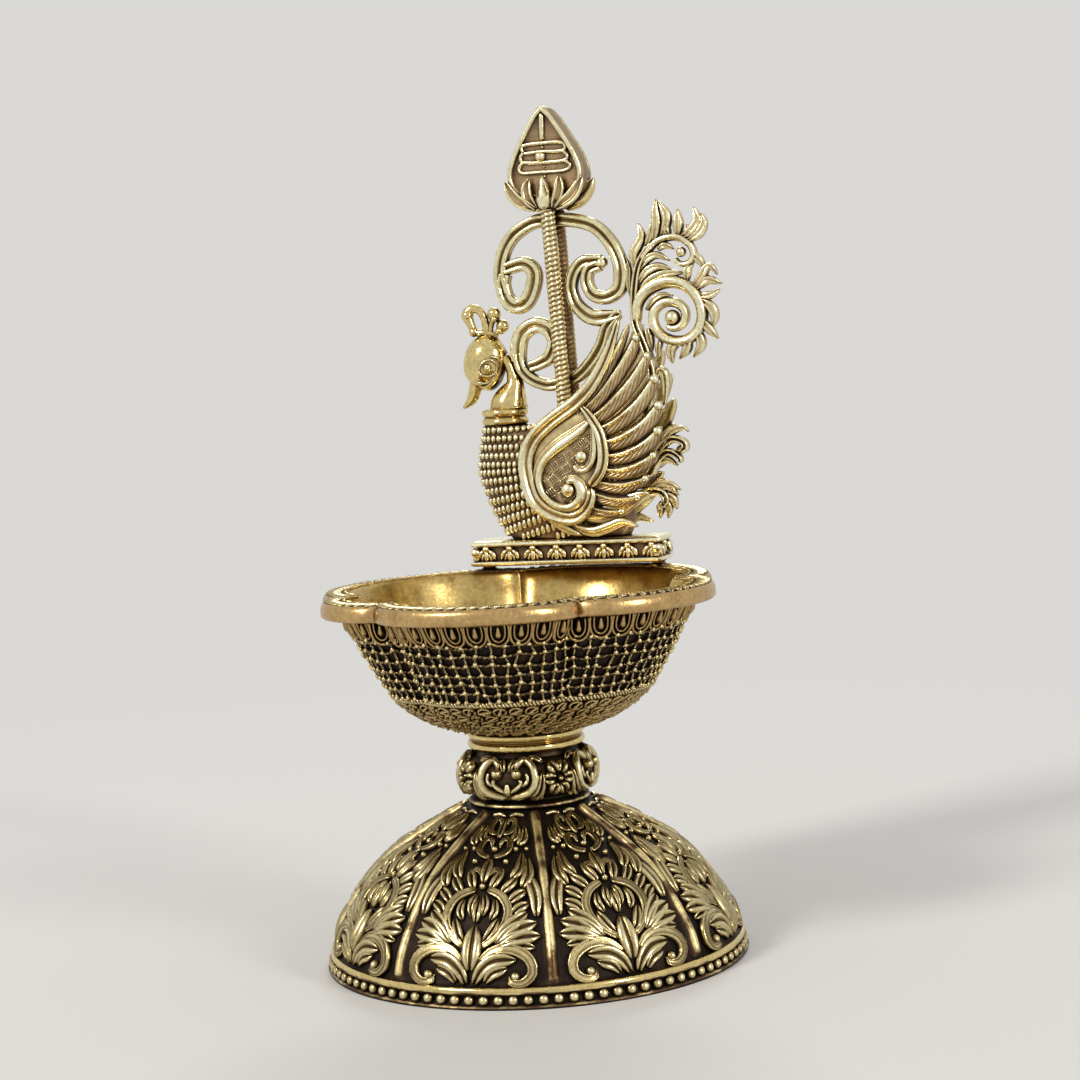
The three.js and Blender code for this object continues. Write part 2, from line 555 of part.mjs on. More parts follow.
// Scroll ring: one strap that arches over, curls in at each end and folds into a hook
function scrollRing() {
  const strap = (points, steps, widths = STRAP_W) => stroke(points, BIRD_Y, widths, STRAP_D, steps, 6);
  const pieces = [
    strap([[13.6, 121], [13.3, 124.5], [11.6, 128.2], [8.6, 131.2], [4, 132.6], [-0.9, 132.9], [-4, 132.3],
      [-7.4, 130.2], [-9.5, 127], [-10.3, 122.9], [-9.6, 119.4]], 13),
    strap([[-9.9, 119.8], [-8.7, 117.7], [-6.8, 116.9], [-5, 117.8], [-3.7, 120.1], [-3.1, 122.6], [-3.7, 124.4],
      [-5.6, 125.2], [-9.6, 124.2]], 11),
    strap([[13.6, 121.8], [12.9, 119], [10.6, 117.7], [8.1, 118.3], [6.9, 120.4], [7.3, 122.9], [9.5, 123.8]],
      10, [1.25, 1.3, 1.4, 1.2, 1.1, 1.1]),
    strap([[9.9, 124.6], [6.6, 124.6], [4.6, 123], [3.7, 120.2], [4.2, 117.4], [6, 115.1], [8.6, 113.9],
      [12.9, 114.4]], 10, [1.1, 1.2, 1.15, 1.1, 1.25, 1.5, 1.5, 0.8]),
    strap([[12.4, 114.4], [10.2, 112], [9, 108.9], [6.9, 105.9], [3.8, 103.2], [-0.9, 101.9], [-3.4, 102.3],
      [-5.7, 103.6], [-7.2, 105.6], [-7.6, 108.2]], 12, [1, 1.2, 1.15, 1.1, 1.1]),
    strap([[-7.6, 106.6], [-7.4, 109.6], [-6.7, 111.6], [-5.1, 112.9], [-3.2, 113.3], [-1.1, 112.3],
      [-0.2, 109.8], [-1.4, 107.2], [-3.3, 106.1], [-5.4, 105.5]], 12, [1.3, 1.45, 1.4, 1.4, 1.3, 1.2, 1.1, 0.9]),
  ];
  return geometryOf(joined(pieces));
}

// Spear shaft: two cords with the scroll ring between them, joined below the ring
function velShaft() {
  const path = [[2.15, 90], [0.75, 134.3]];
  const gap = STRAP_D + CLEAR + ROPE_R;
  const pieces = [-1, 1].map((side) => stroke(path, BIRD_Y + side * gap, ROPE_R, ROPE_R, 1, 10));
  pieces.push(new THREE.BoxGeometry(2.4, 4.4, 7).translate(2.05, BIRD_Y, 94.6));
  return geometryOf(joined(pieces).subtract(solid(bodyShell(CLEAR))));
}

// Spear head: a thick leaf-shaped blade
function velOutline(grow = 0) {
  const right = [[0, 17.2], [1.6, 15.6], [4.6, 11.8], [6.7, 8], [7.5, 4.6], [6.4, 2], [3.6, 0]];
  const left = right.slice(1).reverse().map(([x, z]) => [-x, z]);
  return [...right, ...left].map(([x, z]) => [
    0.55 + x * (1 + grow / 6), 136.9 + z + (z > 8 ? grow : -grow),
  ]);
}

function velHead(grow = 0) {
  const shape = new THREE.Shape(velOutline(grow).map(([x, z]) => new THREE.Vector2(x, z)));
  const bevel = 0.5;
  const options = {
    depth: 6 + 2 * grow - 2 * bevel, bevelEnabled: true, bevelThickness: bevel,
    bevelSize: bevel, bevelOffset: -bevel, bevelSegments: 1, steps: 1,
  };
  const geometry = new THREE.ExtrudeGeometry(shape, options);
  return geometry.rotateX(Math.PI / 2).translate(0, BIRD_Y + 3 + grow - bevel, 0);
}

// Lotus: a receptacle under the blade with five petals on each face
function lotusCup() {
  const pieces = [];
  const rings = [[134.6, 1.6, 4], [135.4, 2.9, 4.6], [136.4, 3.5, 4.9], [137.4, 3, 4.6]].map(([z, x, y]) =>
    evenAngles(10).map((a) => new THREE.Vector3(0.6 + x * Math.cos(a), BIRD_Y + y * Math.sin(a), z)));
  pieces.push(bodyFromRings(rings));
  const petals = [
    [[0.4, 135.3], [-3.6, 136.6], [-7.1, 140.4]], [[0.5, 135.3], [-2, 137.4], [-3.4, 140.6]],
    [[0.6, 135.2], [0.6, 138], [0.6, 141]], [[0.7, 135.3], [3.2, 137.4], [4.6, 140.6]],
    [[0.8, 135.3], [4.8, 136.6], [8.3, 140.4]],
  ];
  for (const side of [-1, 1]) {
    for (const points of petals) {
      pieces.push(leaf(points, BIRD_Y + side * 4, 1.1, 1.1, 2));
    }
  }
  return geometryOf(joined(pieces).subtract(solid(velHead(CLEAR))));
}

// Assembly
const stand = new THREE.Group();
const dish = new THREE.Group();
const bird = new THREE.Group();
bird.position.x = BIRD_X;
lamp.add(stand, dish, bird);

place('base_dome', baseDome(), BRASS, stand);
place('stem_knop', stemKnop(), BRASS, stand);
place('stem_collar', stemCollar(), BRIGHT_BRASS, stand);
place('tie_stud', tieStud(), STEEL, stand);
place('tie_washer', flatRing(6, 25.3, DOME_TOP_Z - DOME_WALL), STEEL, stand);
place('tie_nut', hexNut(7.6, 22.3, 25.3), STEEL, stand);

place('bowl', bowl(), BRASS, dish);
place('plinth_foot_left', plinthFoot(-15.4, 29), BRASS, dish);
place('plinth_foot_right', plinthFoot(18.2, 29.7), BRASS, dish);
place('plinth', plinth(), BRASS, bird);

place('peacock_body', bodyShell(), DARK_BRASS, bird);
place('neck_collar', neckCollar(), BRIGHT_BRASS, bird);
place('neck', neck(), BRIGHT_BRASS, bird);
place('head', geometryOf(headShell()), BRIGHT_BRASS, bird);
place('crest', crest(), BRIGHT_BRASS, bird);
place('wing_near', wing(-1), BRASS, bird);
place('wing_far', wing(1), BRASS, bird);
place('skirt_leaf_near', skirtLeaf(-1), BRASS, bird);
place('skirt_leaf_far', skirtLeaf(1), BRASS, bird);
place('tail_plume', tailPlume(), BRASS, bird);
place('tail_curl_upper', tailCurlUpper(), BRASS, bird);
place('tail_curl_lower', tailCurlLower(), BRASS, bird);
place('scroll_ring', scrollRing(), BRASS, bird);
place('vel_shaft', velShaft(), BRASS, bird);
place('vel_head', velHead(), BRASS, bird);
place('lotus_cup', lotusCup(), BRIGHT_BRASS, bird);

export default lamp;
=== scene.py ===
# %% [markdown]
# # A cast brass oil lamp with a peacock
# The lamp is about 76 mm wide and 154 mm tall. A domed foot carries a short stem and a lobed bowl
# for the oil. A peacock with raised wings stands on the back of the rim, in front of a scrolled
# ring and a spear. Every part was cast in brass, chased with small punches and then darkened, and
# the high places were rubbed bright again. This lesson builds it piece by piece over a fixed frame.

# %% Load the fixed frame
import math

import bpy
import numpy as np
from mathutils import Matrix, Vector


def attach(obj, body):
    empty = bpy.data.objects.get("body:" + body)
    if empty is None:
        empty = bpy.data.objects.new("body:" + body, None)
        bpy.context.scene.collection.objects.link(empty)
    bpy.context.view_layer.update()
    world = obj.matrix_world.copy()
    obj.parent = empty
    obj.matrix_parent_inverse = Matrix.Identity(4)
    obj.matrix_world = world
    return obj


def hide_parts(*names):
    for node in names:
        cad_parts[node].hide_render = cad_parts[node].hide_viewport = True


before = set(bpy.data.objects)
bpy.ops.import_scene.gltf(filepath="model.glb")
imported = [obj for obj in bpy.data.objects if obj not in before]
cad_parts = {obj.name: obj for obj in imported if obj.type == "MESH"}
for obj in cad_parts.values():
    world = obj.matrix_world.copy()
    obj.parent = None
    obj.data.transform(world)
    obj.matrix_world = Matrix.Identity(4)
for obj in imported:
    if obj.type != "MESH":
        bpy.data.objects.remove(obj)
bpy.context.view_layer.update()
MM = 0.001
TURN = 2 * math.pi
BIRD_X, BIRD_Y = 0.45, 29.6  # middle of the bird on the rim, in millimetres

# %% [markdown]
# ## The camera
# The photograph was taken from a little above the rim and from the right of the lamp's front.
# A camera is an object whose matrix holds its right, up and backward directions as columns, so
# it can be written straight from a measured viewpoint. A long lens keeps the small object calm.

# %% Place the camera
PHOTO_WIDTH, FOCAL_PIXELS, SENSOR = 1080, 2387.444, 36


def link(made):
    bpy.context.scene.collection.objects.link(made)
    return made


camera = link(bpy.data.objects.new("lamp_camera", bpy.data.cameras.new("lamp_camera")))
camera.data.sensor_width = SENSOR
camera.data.lens = FOCAL_PIXELS / PHOTO_WIDTH * SENSOR
camera.data.clip_start, camera.data.clip_end = 0.01, 20
look = Vector((-0.31464, 0.94585, -0.07991)).normalized()
right = Vector((0.94875, 0.31072, -0.05778)).normalized()
upward = right.cross(look).normalized()
axes = Matrix((right, upward, -look)).transposed().to_4x4()
camera.matrix_world = Matrix.Translation((0.13865, -0.40238, 0.10891)) @ axes
bpy.context.scene.camera = camera
bpy.context.scene.view_settings.view_transform = "Standard"
print("camera lens:", round(camera.data.lens, 2), "mm")

# %% [markdown]
# ## Nodes written as formulas
# Finishes, light and repeated forms are all built from nodes here. One helper makes a node and
# links what is given to it. A second kind of helper stands for a number inside a node tree, so
# that a rule such as a rib's height can be written as plain arithmetic.


# %% Helpers that link nodes
def node(tree, kind, inputs=None, **settings):
    made = tree.nodes.new(kind)
    for key, value in settings.items():
        setattr(made, key, value)
    for key, value in (inputs or {}).items():
        value = value.socket if isinstance(value, Number) else value
        if isinstance(value, bpy.types.NodeSocket):
            tree.links.new(value, made.inputs[key])
        else:
            made.inputs[key].default_value = value
    return made


class Number:
    """A number in a node tree. Arithmetic with it adds the nodes that compute the result."""

    def __init__(self, tree, socket):
        self.tree, self.socket = tree, socket

    def math(self, operation, other=0.0, clamp=False, swap=False):
        inputs = {0: other, 1: self} if swap else {0: self, 1: other}
        return number(self.tree, "ShaderNodeMath", inputs, operation=operation, use_clamp=clamp)

    def __add__(self, other):
        return self.math("ADD", other)

    def __mul__(self, other):
        return self.math("MULTIPLY", other)

    def __sub__(self, other):
        return self.math("SUBTRACT", other)

    def __truediv__(self, other):
        return self.math("DIVIDE", other)

    def __rsub__(self, other):
        return self.math("SUBTRACT", other, swap=True)

    def __rtruediv__(self, other):
        return self.math("DIVIDE", other, swap=True)


def number(tree, kind, inputs=None, out=0, **settings):
    return Number(tree, node(tree, kind, inputs, **settings).outputs[out])


def fresh_nodes(owner):
    """The empty node tree of a new material or world."""
    owner.use_nodes = True
    owner.node_tree.nodes.clear()
    return owner.node_tree


# %% [markdown]
# ## Light, floor and background
# Brass shows what is around it, so three wide soft lamps give it long quiet highlights. They hang
# far away, so the floor is lit evenly. The pale room colour comes from the world, and the Light
# Path node gives camera, glossy and transmission rays the same pale background. Far from the lamp
# the floor fades into that colour, so no horizon crosses the picture, and near it keeps a shadow.

# %% Studio light
PALE = (0.70, 0.69, 0.67, 1)


def softbox(name, place, aim, size, power, tint):
    light = bpy.data.lights.new(name, "AREA")
    light.shape, light.size, light.size_y = "RECTANGLE", size[0], size[1]
    light.energy, light.color = power, tint
    lamp = link(bpy.data.objects.new(name, light))
    lamp.location = place
    lamp.rotation_mode = "QUATERNION"
    lamp.rotation_quaternion = (Vector(place) - Vector(aim)).to_track_quat("Z", "Y")


softbox("key_light", (-1.1, -1.7, 1.6), (0, 0, 0.07), (0.5, 0.8), 31, (1, 0.985, 0.96))
softbox("side_light", (1.9, -0.9, 0.9), (0, 0, 0.08), (0.25, 0.9), 16, (1, 0.985, 0.96))
softbox("back_light", (-0.4, 1.9, 1.6), (0, 0, 0.09), (0.9, 0.4), 15, (1, 1, 1))


def seen_rays(tree):
    """1 for camera, glossy and transmission rays, 0 for the rays that light things."""
    path = node(tree, "ShaderNodeLightPath").outputs
    kinds = ("Camera", "Glossy", "Transmission")
    in_camera, in_gloss, through = (Number(tree, path[f"Is {kind} Ray"]) for kind in kinds)
    return (in_camera + in_gloss).math("ADD", through, clamp=True)


world = bpy.context.scene.world = bpy.data.worlds.new("pale_room")
sky = fresh_nodes(world)
ambient = node(sky, "ShaderNodeBackground", {"Color": (1, 0.99, 0.97, 1), "Strength": 0.48})
backdrop = node(sky, "ShaderNodeBackground", {"Color": PALE})
choose = node(sky, "ShaderNodeMixShader", {0: seen_rays(sky), 1: ambient.outputs[0], 2: backdrop.outputs[0]})
node(sky, "ShaderNodeOutputWorld", {0: choose.outputs[0]})

# %% Floor that fades into the background
FLOOR = 9  # half its width in metres
floor_mesh = bpy.data.meshes.new("floor")
corners = [(-FLOOR, -FLOOR, 0), (FLOOR, -FLOOR, 0), (FLOOR, FLOOR, 0), (-FLOOR, FLOOR, 0)]
floor_mesh.from_pydata(corners, [], [(0, 1, 2, 3)])
floor = link(bpy.data.objects.new("floor", floor_mesh))
paper = bpy.data.materials.new("pale_paper")
sheet = fresh_nodes(paper)
matt = node(sheet, "ShaderNodeBsdfPrincipled", {"Base Color": PALE, "Roughness": 0.9})
glow = node(sheet, "ShaderNodeEmission", {"Color": PALE})
where = node(sheet, "ShaderNodeTexCoord").outputs["Object"]
away = node(sheet, "ShaderNodeVectorMath", {0: where}, operation="LENGTH").outputs["Value"]
fade = number(sheet, "ShaderNodeMapRange", {0: away, 1: 0.12, 2: 0.55}, interpolation_type="SMOOTHSTEP")
blend = node(sheet, "ShaderNodeMixShader", {0: fade * seen_rays(sheet), 1: matt.outputs[0], 2: glow.outputs[0]})
node(sheet, "ShaderNodeOutputMaterial", {0: blend.outputs[0]})
floor_mesh.materials.append(paper)
print("lamps:", len(bpy.data.lights))

# %% [markdown]
# ## The brass finishes
# Old lamp brass isn't one colour. It is bright where hands and cloths rub it and brown-black in
# the hollows, where patina stays. Each finish here mixes four tones by two things: an Ambient
# Occlusion node, which is dark in hollows and so paints both the patina and shade into the
# colour, and an attribute called "worn" that the relief pieces carry, 0 at their foot and 1 on
# their crown. Noise moves the border, and a bump gives the grain and pits of a sand casting. All
# patterns read Object coordinates, so they stay on the metal.


# %% Helper that makes a brass finish
def linear(rgb):
    """The linear colour of a colour given as 0 to 255."""
    return (*(((c / 255 + 0.055) / 1.055) ** 2.4 if c > 10 else c / 3294 for c in rgb), 1)


def brass(name, *tones, rub=0.7, rough=(0.26, 0.46), grain=1.0, pits=0.3, reach=1.4, hold=1.0, tarnish=0.25):
    """Four tones, crown to hollow. rub is the share of "worn", reach the depth that patina and painted shade fill."""
    made = bpy.data.materials.new(name)
    tree = fresh_nodes(made)
    crown, body, dusk, hollow = map(linear, tones)

    def spread(value, *ends):
        return number(tree, "ShaderNodeMapRange", {0: value, **{k + 1: end for k, end in enumerate(ends)}})

    where = node(tree, "ShaderNodeTexCoord").outputs["Object"]
    clouds = number(tree, "ShaderNodeTexNoise", {"Vector": where, "Scale": 260, "Detail": 4})
    fine = number(tree, "ShaderNodeTexNoise", {"Vector": where, "Scale": 1500, "Detail": 3})
    holes = number(tree, "ShaderNodeTexVoronoi", {"Vector": where, "Scale": 900}, "Distance")
    # The occlusion darkens the colour in hollows: the patina that stays there, and painted shade as well.
    patina_and_shade = number(tree, "ShaderNodeAmbientOcclusion", {"Distance": reach * MM}, "AO", samples=8)
    worn = number(tree, "ShaderNodeAttribute", out="Fac", attribute_name="worn")
    bright = spread(patina_and_shade, 0.25, 0.92) * (worn * rub + (1 - rub)) + (clouds - 0.5) * tarnish
    ramp = node(tree, "ShaderNodeValToRGB", {0: bright})
    stops = ramp.color_ramp.elements
    stops[0].position, stops[0].color, stops[1].color = 0.10 * hold, hollow, crown
    stops.new(0.36 * hold).color = dusk
    stops.new(0.66 * hold).color = body
    spots = spread(fine, 0.35, 0.7, 0.82, 1.1)
    colour = node(tree, "ShaderNodeVectorMath", {0: ramp.outputs[0], "Scale": spots}, operation="SCALE")
    shown = spread(bright, 0.10 * hold, 0.62 * hold)
    roughness = spread(shown, 0, 1, rough[1], rough[0]).math("ADD", (clouds - 0.5) * 0.18, clamp=True)
    height = fine * (0.6 * grain) + spread(holes, 0, 0.22, -pits, 0)
    bump = node(tree, "ShaderNodeBump", {"Strength": 0.45, "Distance": 0.00009, "Height": height})
    shader = node(tree, "ShaderNodeBsdfPrincipled", {
        "Base Color": colour.outputs[0], "Metallic": spread(shown, 0, 1, 0.72, 1.0), "Roughness": roughness,
        "Normal": bump.outputs[0]})
    node(tree, "ShaderNodeOutputMaterial", {0: shader.outputs[0]})
    return made


# %% The finishes of this lamp
# The last tone of each finish colours its hollows: patina, darkened further as painted shade.
relief_brass = brass("relief_brass", (248, 236, 190), (182, 158, 100), (100, 78, 54), (28, 20, 13),
                     rub=0.8, hold=1.08)
chased_brass = brass("chased_brass", (255, 249, 212), (236, 215, 157), (152, 124, 94), (46, 34, 24),
                     hold=0.98, reach=1.2)
ground_brass = brass("ground_brass", (240, 220, 160), (104, 80, 54), (46, 34, 26), (20, 14, 11), rub=0.55,
                     rough=(0.42, 0.6), grain=1.6, pits=0.6, tarnish=0.8, hold=1.35)
net_brass = brass("net_brass", (250, 234, 182), (196, 166, 108), (104, 78, 48), (30, 20, 13), rub=0.6, reach=0.5)
drop_brass = brass("drop_brass", (206, 176, 120), (150, 118, 70), (82, 58, 34), (20, 13, 8), rub=0.8, reach=1.1)
knot_brass = brass("knot_brass", (236, 214, 160), (168, 136, 80), (84, 60, 34), (18, 12, 8), rub=0.8, reach=1.6)
smooth_brass = brass("smooth_brass", (236, 214, 148), (190, 160, 94), (118, 88, 52), (34, 23, 16), rub=0.4,
                     rough=(0.13, 0.34), grain=0.35, pits=0.05, reach=1.6, tarnish=0.3, hold=1.1)
strap_brass = brass("strap_brass", (255, 248, 204), (208, 184, 122), (134, 106, 76), (34, 24, 16), rub=0.65,
                    rough=(0.15, 0.36), grain=0.4, pits=0.05, tarnish=0.3, hold=1.1)
# The inside of the bowl takes no share of "worn", and its occlusion reaches 5 mm, so its dark places are painted
# shade of the well and under the plinth, with some patina.
bowl_gold = brass("bowl_gold", (206, 178, 112), (168, 136, 76), (128, 94, 48), (70, 46, 24), rub=0,
                  rough=(0.24, 0.42), grain=0.9, pits=0.4, reach=5.0, tarnish=0.9, hold=1.2)
rim_copper = brass("rim_copper", (208, 174, 118), (160, 124, 78), (92, 66, 42), (36, 25, 17), rub=0.6,
                   rough=(0.28, 0.5), grain=1.6, pits=1.0, reach=0.8, tarnish=0.8)
turned_steel = brass("turned_steel", (196, 198, 200), (138, 142, 146), (96, 96, 98), (54, 50, 48), rub=0,
                     rough=(0.3, 0.5), grain=0.8)
print("finishes:", len([m for m in bpy.data.materials if m.use_nodes]))

# %% [markdown]
# ## Meshes from curves and surfaces
# Most of the ornament is relief: vines, leaves and beads that grow out of a curved wall. So the
# work is drawn flat, in two numbers across and up the wall, and a "skin" function carries each
# point onto the metal. A sweep lays rings along such a line. Half of each ring is sunk in the
# wall, so the relief stands on it from every side. All sizes in this script are millimetres.


# %% Helpers for smooth lines
def spline(points, count):
    """A smooth line through the points, cut into even steps."""
    p = np.array(points, float)
    p = np.vstack([2 * p[0] - p[1], p, 2 * p[-1] - p[-2]])
    t = np.linspace(0, 1, 12, endpoint=False)[:, None]
    runs = []
    for k in range(1, len(p) - 2):
        a, b, c, d = p[k - 1:k + 3]
        runs.append(0.5 * (2 * b + (c - a) * t + (2 * a - 5 * b + 4 * c - d) * t ** 2
                           + (3 * b - 3 * c + d - a) * t ** 3))
    line = np.vstack([*runs, p[-2][None]])
    far = lengths(line)
    steps = np.linspace(0, far[-1], count)
    return np.stack([np.interp(steps, far, line[:, k]) for k in range(line.shape[1])], 1)


def lengths(line):
    """How far along the line each of its points is."""
    return np.concatenate([[0], np.cumsum(np.linalg.norm(np.diff(line, axis=0), axis=1))])


def even(values, count):
    """A list of sizes read evenly along a line."""
    values = np.atleast_1d(np.array(values, float))
    return np.interp(np.linspace(0, 1, count), np.linspace(0, 1, len(values)), values)


def unit(v):
    return v / np.maximum(np.linalg.norm(v, axis=-1, keepdims=True), 1e-12)


def circle(count):
    return np.linspace(0, TURN, count, endpoint=False)


def at_height(across, height):
    """The flat points of a level line."""
    return np.stack([across, np.full(len(across), height)], 1)


# %% Helpers that make meshes
def merged(parts):
    """Joins (points, faces, worn) parts into one."""
    points, faces, worn, start = [], [], [], 0
    for p, f, w in parts:
        points.append(np.asarray(p, float))
        faces += [tuple(start + k for k in face) for face in f]
        worn.append(np.asarray(w, float))
        start += len(p)
    return np.vstack(points), faces, np.concatenate(worn)


def shape(name, points, edges, faces, fields):
    """A new object from points in millimetres, with a field of numbers for its points."""
    mesh = bpy.data.meshes.new(name)
    mesh.from_pydata((np.asarray(points) * MM).tolist(), edges, faces)
    for key, values in fields.items():
        kind, member = ("FLOAT_VECTOR", "vector") if np.ndim(values) == 2 else ("FLOAT", "value")
        mesh.attributes.new(key, kind, "POINT").data.foreach_set(member, np.asarray(values, np.float32).ravel())
    return link(bpy.data.objects.new(name, mesh))


def piece(name, part, finish, slot="antique_brass", replaces=(), bands=None, crease=None):
    """Makes a named object from a part and puts it on the lamp."""
    points, faces, worn = part
    made = shape(name, points, [], faces, {"worn": worn})
    mesh = made.data
    mesh.validate()
    mesh.shade_smooth()
    if crease:
        mesh.set_sharp_from_angle(angle=math.radians(crease))
    for metal in finish if isinstance(finish, list) else [finish]:
        mesh.materials.append(metal)
    if bands is not None:
        mesh.polygons.foreach_set("material_index", np.asarray(bands, np.int32))
    settle(made, replaces)


def settle(made, replaces=()):
    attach(made, "root")
    if replaces:
        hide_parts(*replaces)
    print(made.name, "faces:", len(made.data.polygons))


def rings_part(rings, worn, closed_ends=True, looped=False):
    """Skins rows of points, each row a closed ring."""
    rows, count = rings.shape[:2]
    points = rings.reshape(-1, 3)
    worn = np.broadcast_to(worn, (rows, count)).reshape(-1)
    faces = []
    for i in range(rows if looped else rows - 1):
        a, b = i * count, ((i + 1) % rows) * count
        faces += [(a + j, b + j, b + (j + 1) % count, a + (j + 1) % count) for j in range(count)]
    if closed_ends and not looped:
        points = np.vstack([points, rings[0].mean(0), rings[-1].mean(0)])
        worn = np.append(worn, [worn[0], worn[-1]])
        first, last, base = len(points) - 2, len(points) - 1, (rows - 1) * count
        faces += [(first, j, (j + 1) % count) for j in range(count)]
        faces += [(last, base + (j + 1) % count, base + j) for j in range(count)]
    return outward((points, faces, worn))


def outward(part):
    """Turns the faces round when a closed part is inside out."""
    points, faces, worn = part
    tris = np.array([(f[0], f[k], f[k + 1]) for f in faces for k in range(1, len(f) - 1)])
    a, b, c = (points[tris[:, k]] for k in range(3))
    if np.einsum("ij,ij->i", a, np.cross(b, c)).sum() < 0:
        faces = [f[::-1] for f in faces]
    return points, faces, worn


def ball_rings(low, high, rows, sides):
    """Rings of a unit ball between two latitudes, with z as its axis."""
    a, t = np.linspace(low, high, rows)[:, None], circle(sides)
    return np.stack([np.cos(t) * np.cos(a), np.sin(t) * np.cos(a), np.sin(a) + 0 * t], 2)


# %% Helpers that draw on a skin
def frame_on(skin, flat_line):
    """Points, sideways and outward directions along a line drawn on a skin."""
    q = np.asarray(flat_line, float)
    e = 1e-3
    here = skin(q)
    across = skin(q + [e, 0]) - skin(q - [e, 0])
    up = skin(q + [0, e]) - skin(q - [0, e])
    out = unit(np.cross(across, up))
    side = unit(np.cross(unit(np.gradient(here, axis=0)), out))
    return here, side, out


ROUND = [(math.cos(a), math.sin(a)) for a in np.linspace(0, TURN, 9)[:-1]]
GROOVED = [(-1, 0.0), (-0.82, 0.62), (-0.45, 1.0), (-0.08, 0.5), (0, 0.32), (0.08, 0.5), (0.45, 1.0),
           (0.82, 0.62), (1, 0.0), (0.5, -0.6), (-0.5, -0.6)]
BANDED = [(-1, 0.0), (-0.9, 0.6), (-0.62, 0.85), (-0.42, 0.62), (0, 0.98), (0.42, 0.62), (0.62, 0.85),
          (0.9, 0.6), (1, 0.0), (0.6, -0.7), (-0.6, -0.7)]
LEAF_SWELL = np.array([0.42, 0.76, 0.94, 1, 1, 0.9, 0.66, 0.14])
LEAF_RISE = np.array([0.6, 0.85, 0.98, 1, 0.97, 0.9, 0.78, 0.4])


def vine(skin, line, width, height, count=24, section=ROUND, sink=0.0, tip=True):
    """A raised stroke on a skin. Width and height are half widths and rises along it."""
    here, side, out = frame_on(skin, spline(line, count))
    w, h = even(width, count), even(height, count)
    if tip:
        fade = np.clip(np.minimum(np.arange(count), np.arange(count)[::-1]) / 1.5, 0, 1) ** 0.5
        w, h = w * (0.25 + 0.75 * fade), h * (0.3 + 0.7 * fade)
    s = np.array(section)
    rings = (here[:, None] + side[:, None] * (w[:, None] * s[:, 0])[..., None]
             + out[:, None] * (h[:, None] * s[:, 1] - sink)[..., None])
    return rings_part(rings, np.clip(0.12 + 0.95 * np.abs(s[:, 1]), 0, 1)[None])


def leaf(skin, line, width, height, count=12, section=GROOVED):
    """A grooved leaf that swells and comes to a point."""
    return vine(skin, line, LEAF_SWELL * width, LEAF_RISE * height, count, section, tip=False)


def stud(skin, at, radius, height=None, rows=5, sides=10):
    """A round boss on a skin."""
    here, _, out = frame_on(skin, np.array([at, (at[0] + 1e-3, at[1] + 1e-3)]))
    n = out[0]
    s = unit(np.cross(n, [0.13, 0.2, 0.97]))
    t = np.cross(n, s)
    turn = circle(sides)
    rings = []
    for a in np.linspace(-0.5, math.pi / 2 - 0.12, rows):
        ring = (np.cos(turn)[:, None] * s + np.sin(turn)[:, None] * t) * radius * math.cos(a)
        rings.append(here[0] + ring + n * (height or radius) * math.sin(a))
    return rings_part(np.array(rings), np.linspace(0.1, 1.0, rows)[:, None])


def mirrored(strokes):
    """The strokes and their mirror images across the middle."""
    return strokes + [(kind, [(-a, b) for a, b in line], *rest) for kind, line, *rest in strokes]


def carve(skin, strokes):
    """One part from a list of (kind, line, width, height)."""
    draw = {"vine": vine, "leaf": leaf, "band": lambda *stroke: vine(*stroke, 26, BANDED),
            "stud": lambda skin, line, *sizes: stud(skin, line[0], *sizes)}
    return merged([draw[kind](skin, *stroke) for kind, *stroke in strokes])


# %% [markdown]
# ## Geometry Nodes for what repeats
# Beads, drops, scales and twisted cords follow one rule many times, so each rule becomes a node
# tree with named inputs. One tree sets a motif on points that carry a "turn" and a "size", one
# copies a motif round the lamp's axis, and one winds a cord along a line. Every tree ends in
# Realize Instances and Set Material. The result is then taken as a plain mesh.


# %% Helpers for node trees
def new_tree(name, sockets):
    """A tree with named inputs, and those inputs."""
    tree = bpy.data.node_groups.new(name, "GeometryNodeTree")
    for label, kind, value in [("Geometry", "Geometry", None), *sockets, ("Material", "Material", None)]:
        socket = tree.interface.new_socket(label, in_out="INPUT", socket_type="NodeSocket" + kind)
        if value is not None:
            socket.default_value = value
    tree.interface.new_socket("Geometry", in_out="OUTPUT", socket_type="NodeSocketGeometry")
    return tree, tree.nodes.new("NodeGroupInput").outputs


def finish_tree(tree, geometry, given):
    real = node(tree, "GeometryNodeRealizeInstances", {0: geometry})
    dressed = node(tree, "GeometryNodeSetMaterial", {"Geometry": real.outputs[0], "Material": given["Material"]})
    node(tree, "NodeGroupOutput", {0: dressed.outputs[0]})


def read_field(tree, name, kind="FLOAT"):
    return number(tree, "GeometryNodeInputNamedAttribute", {"Name": name}, data_type=kind)


def store_worn(tree, geometry, value):
    return node(tree, "GeometryNodeStoreNamedAttribute", {"Geometry": geometry, "Name": "worn", "Value": value},
                data_type="FLOAT", domain="POINT").outputs[0]


def position(tree):
    """The position of a point, with its x and y as numbers."""
    spot = node(tree, "GeometryNodeInputPosition").outputs[0]
    xyz = node(tree, "ShaderNodeSeparateXYZ", {0: spot}).outputs
    return spot, Number(tree, xyz["X"]), Number(tree, xyz["Y"])


def scaled(tree, vector, factor):
    return node(tree, "ShaderNodeVectorMath", {0: vector, "Scale": factor}, operation="SCALE").outputs[0]


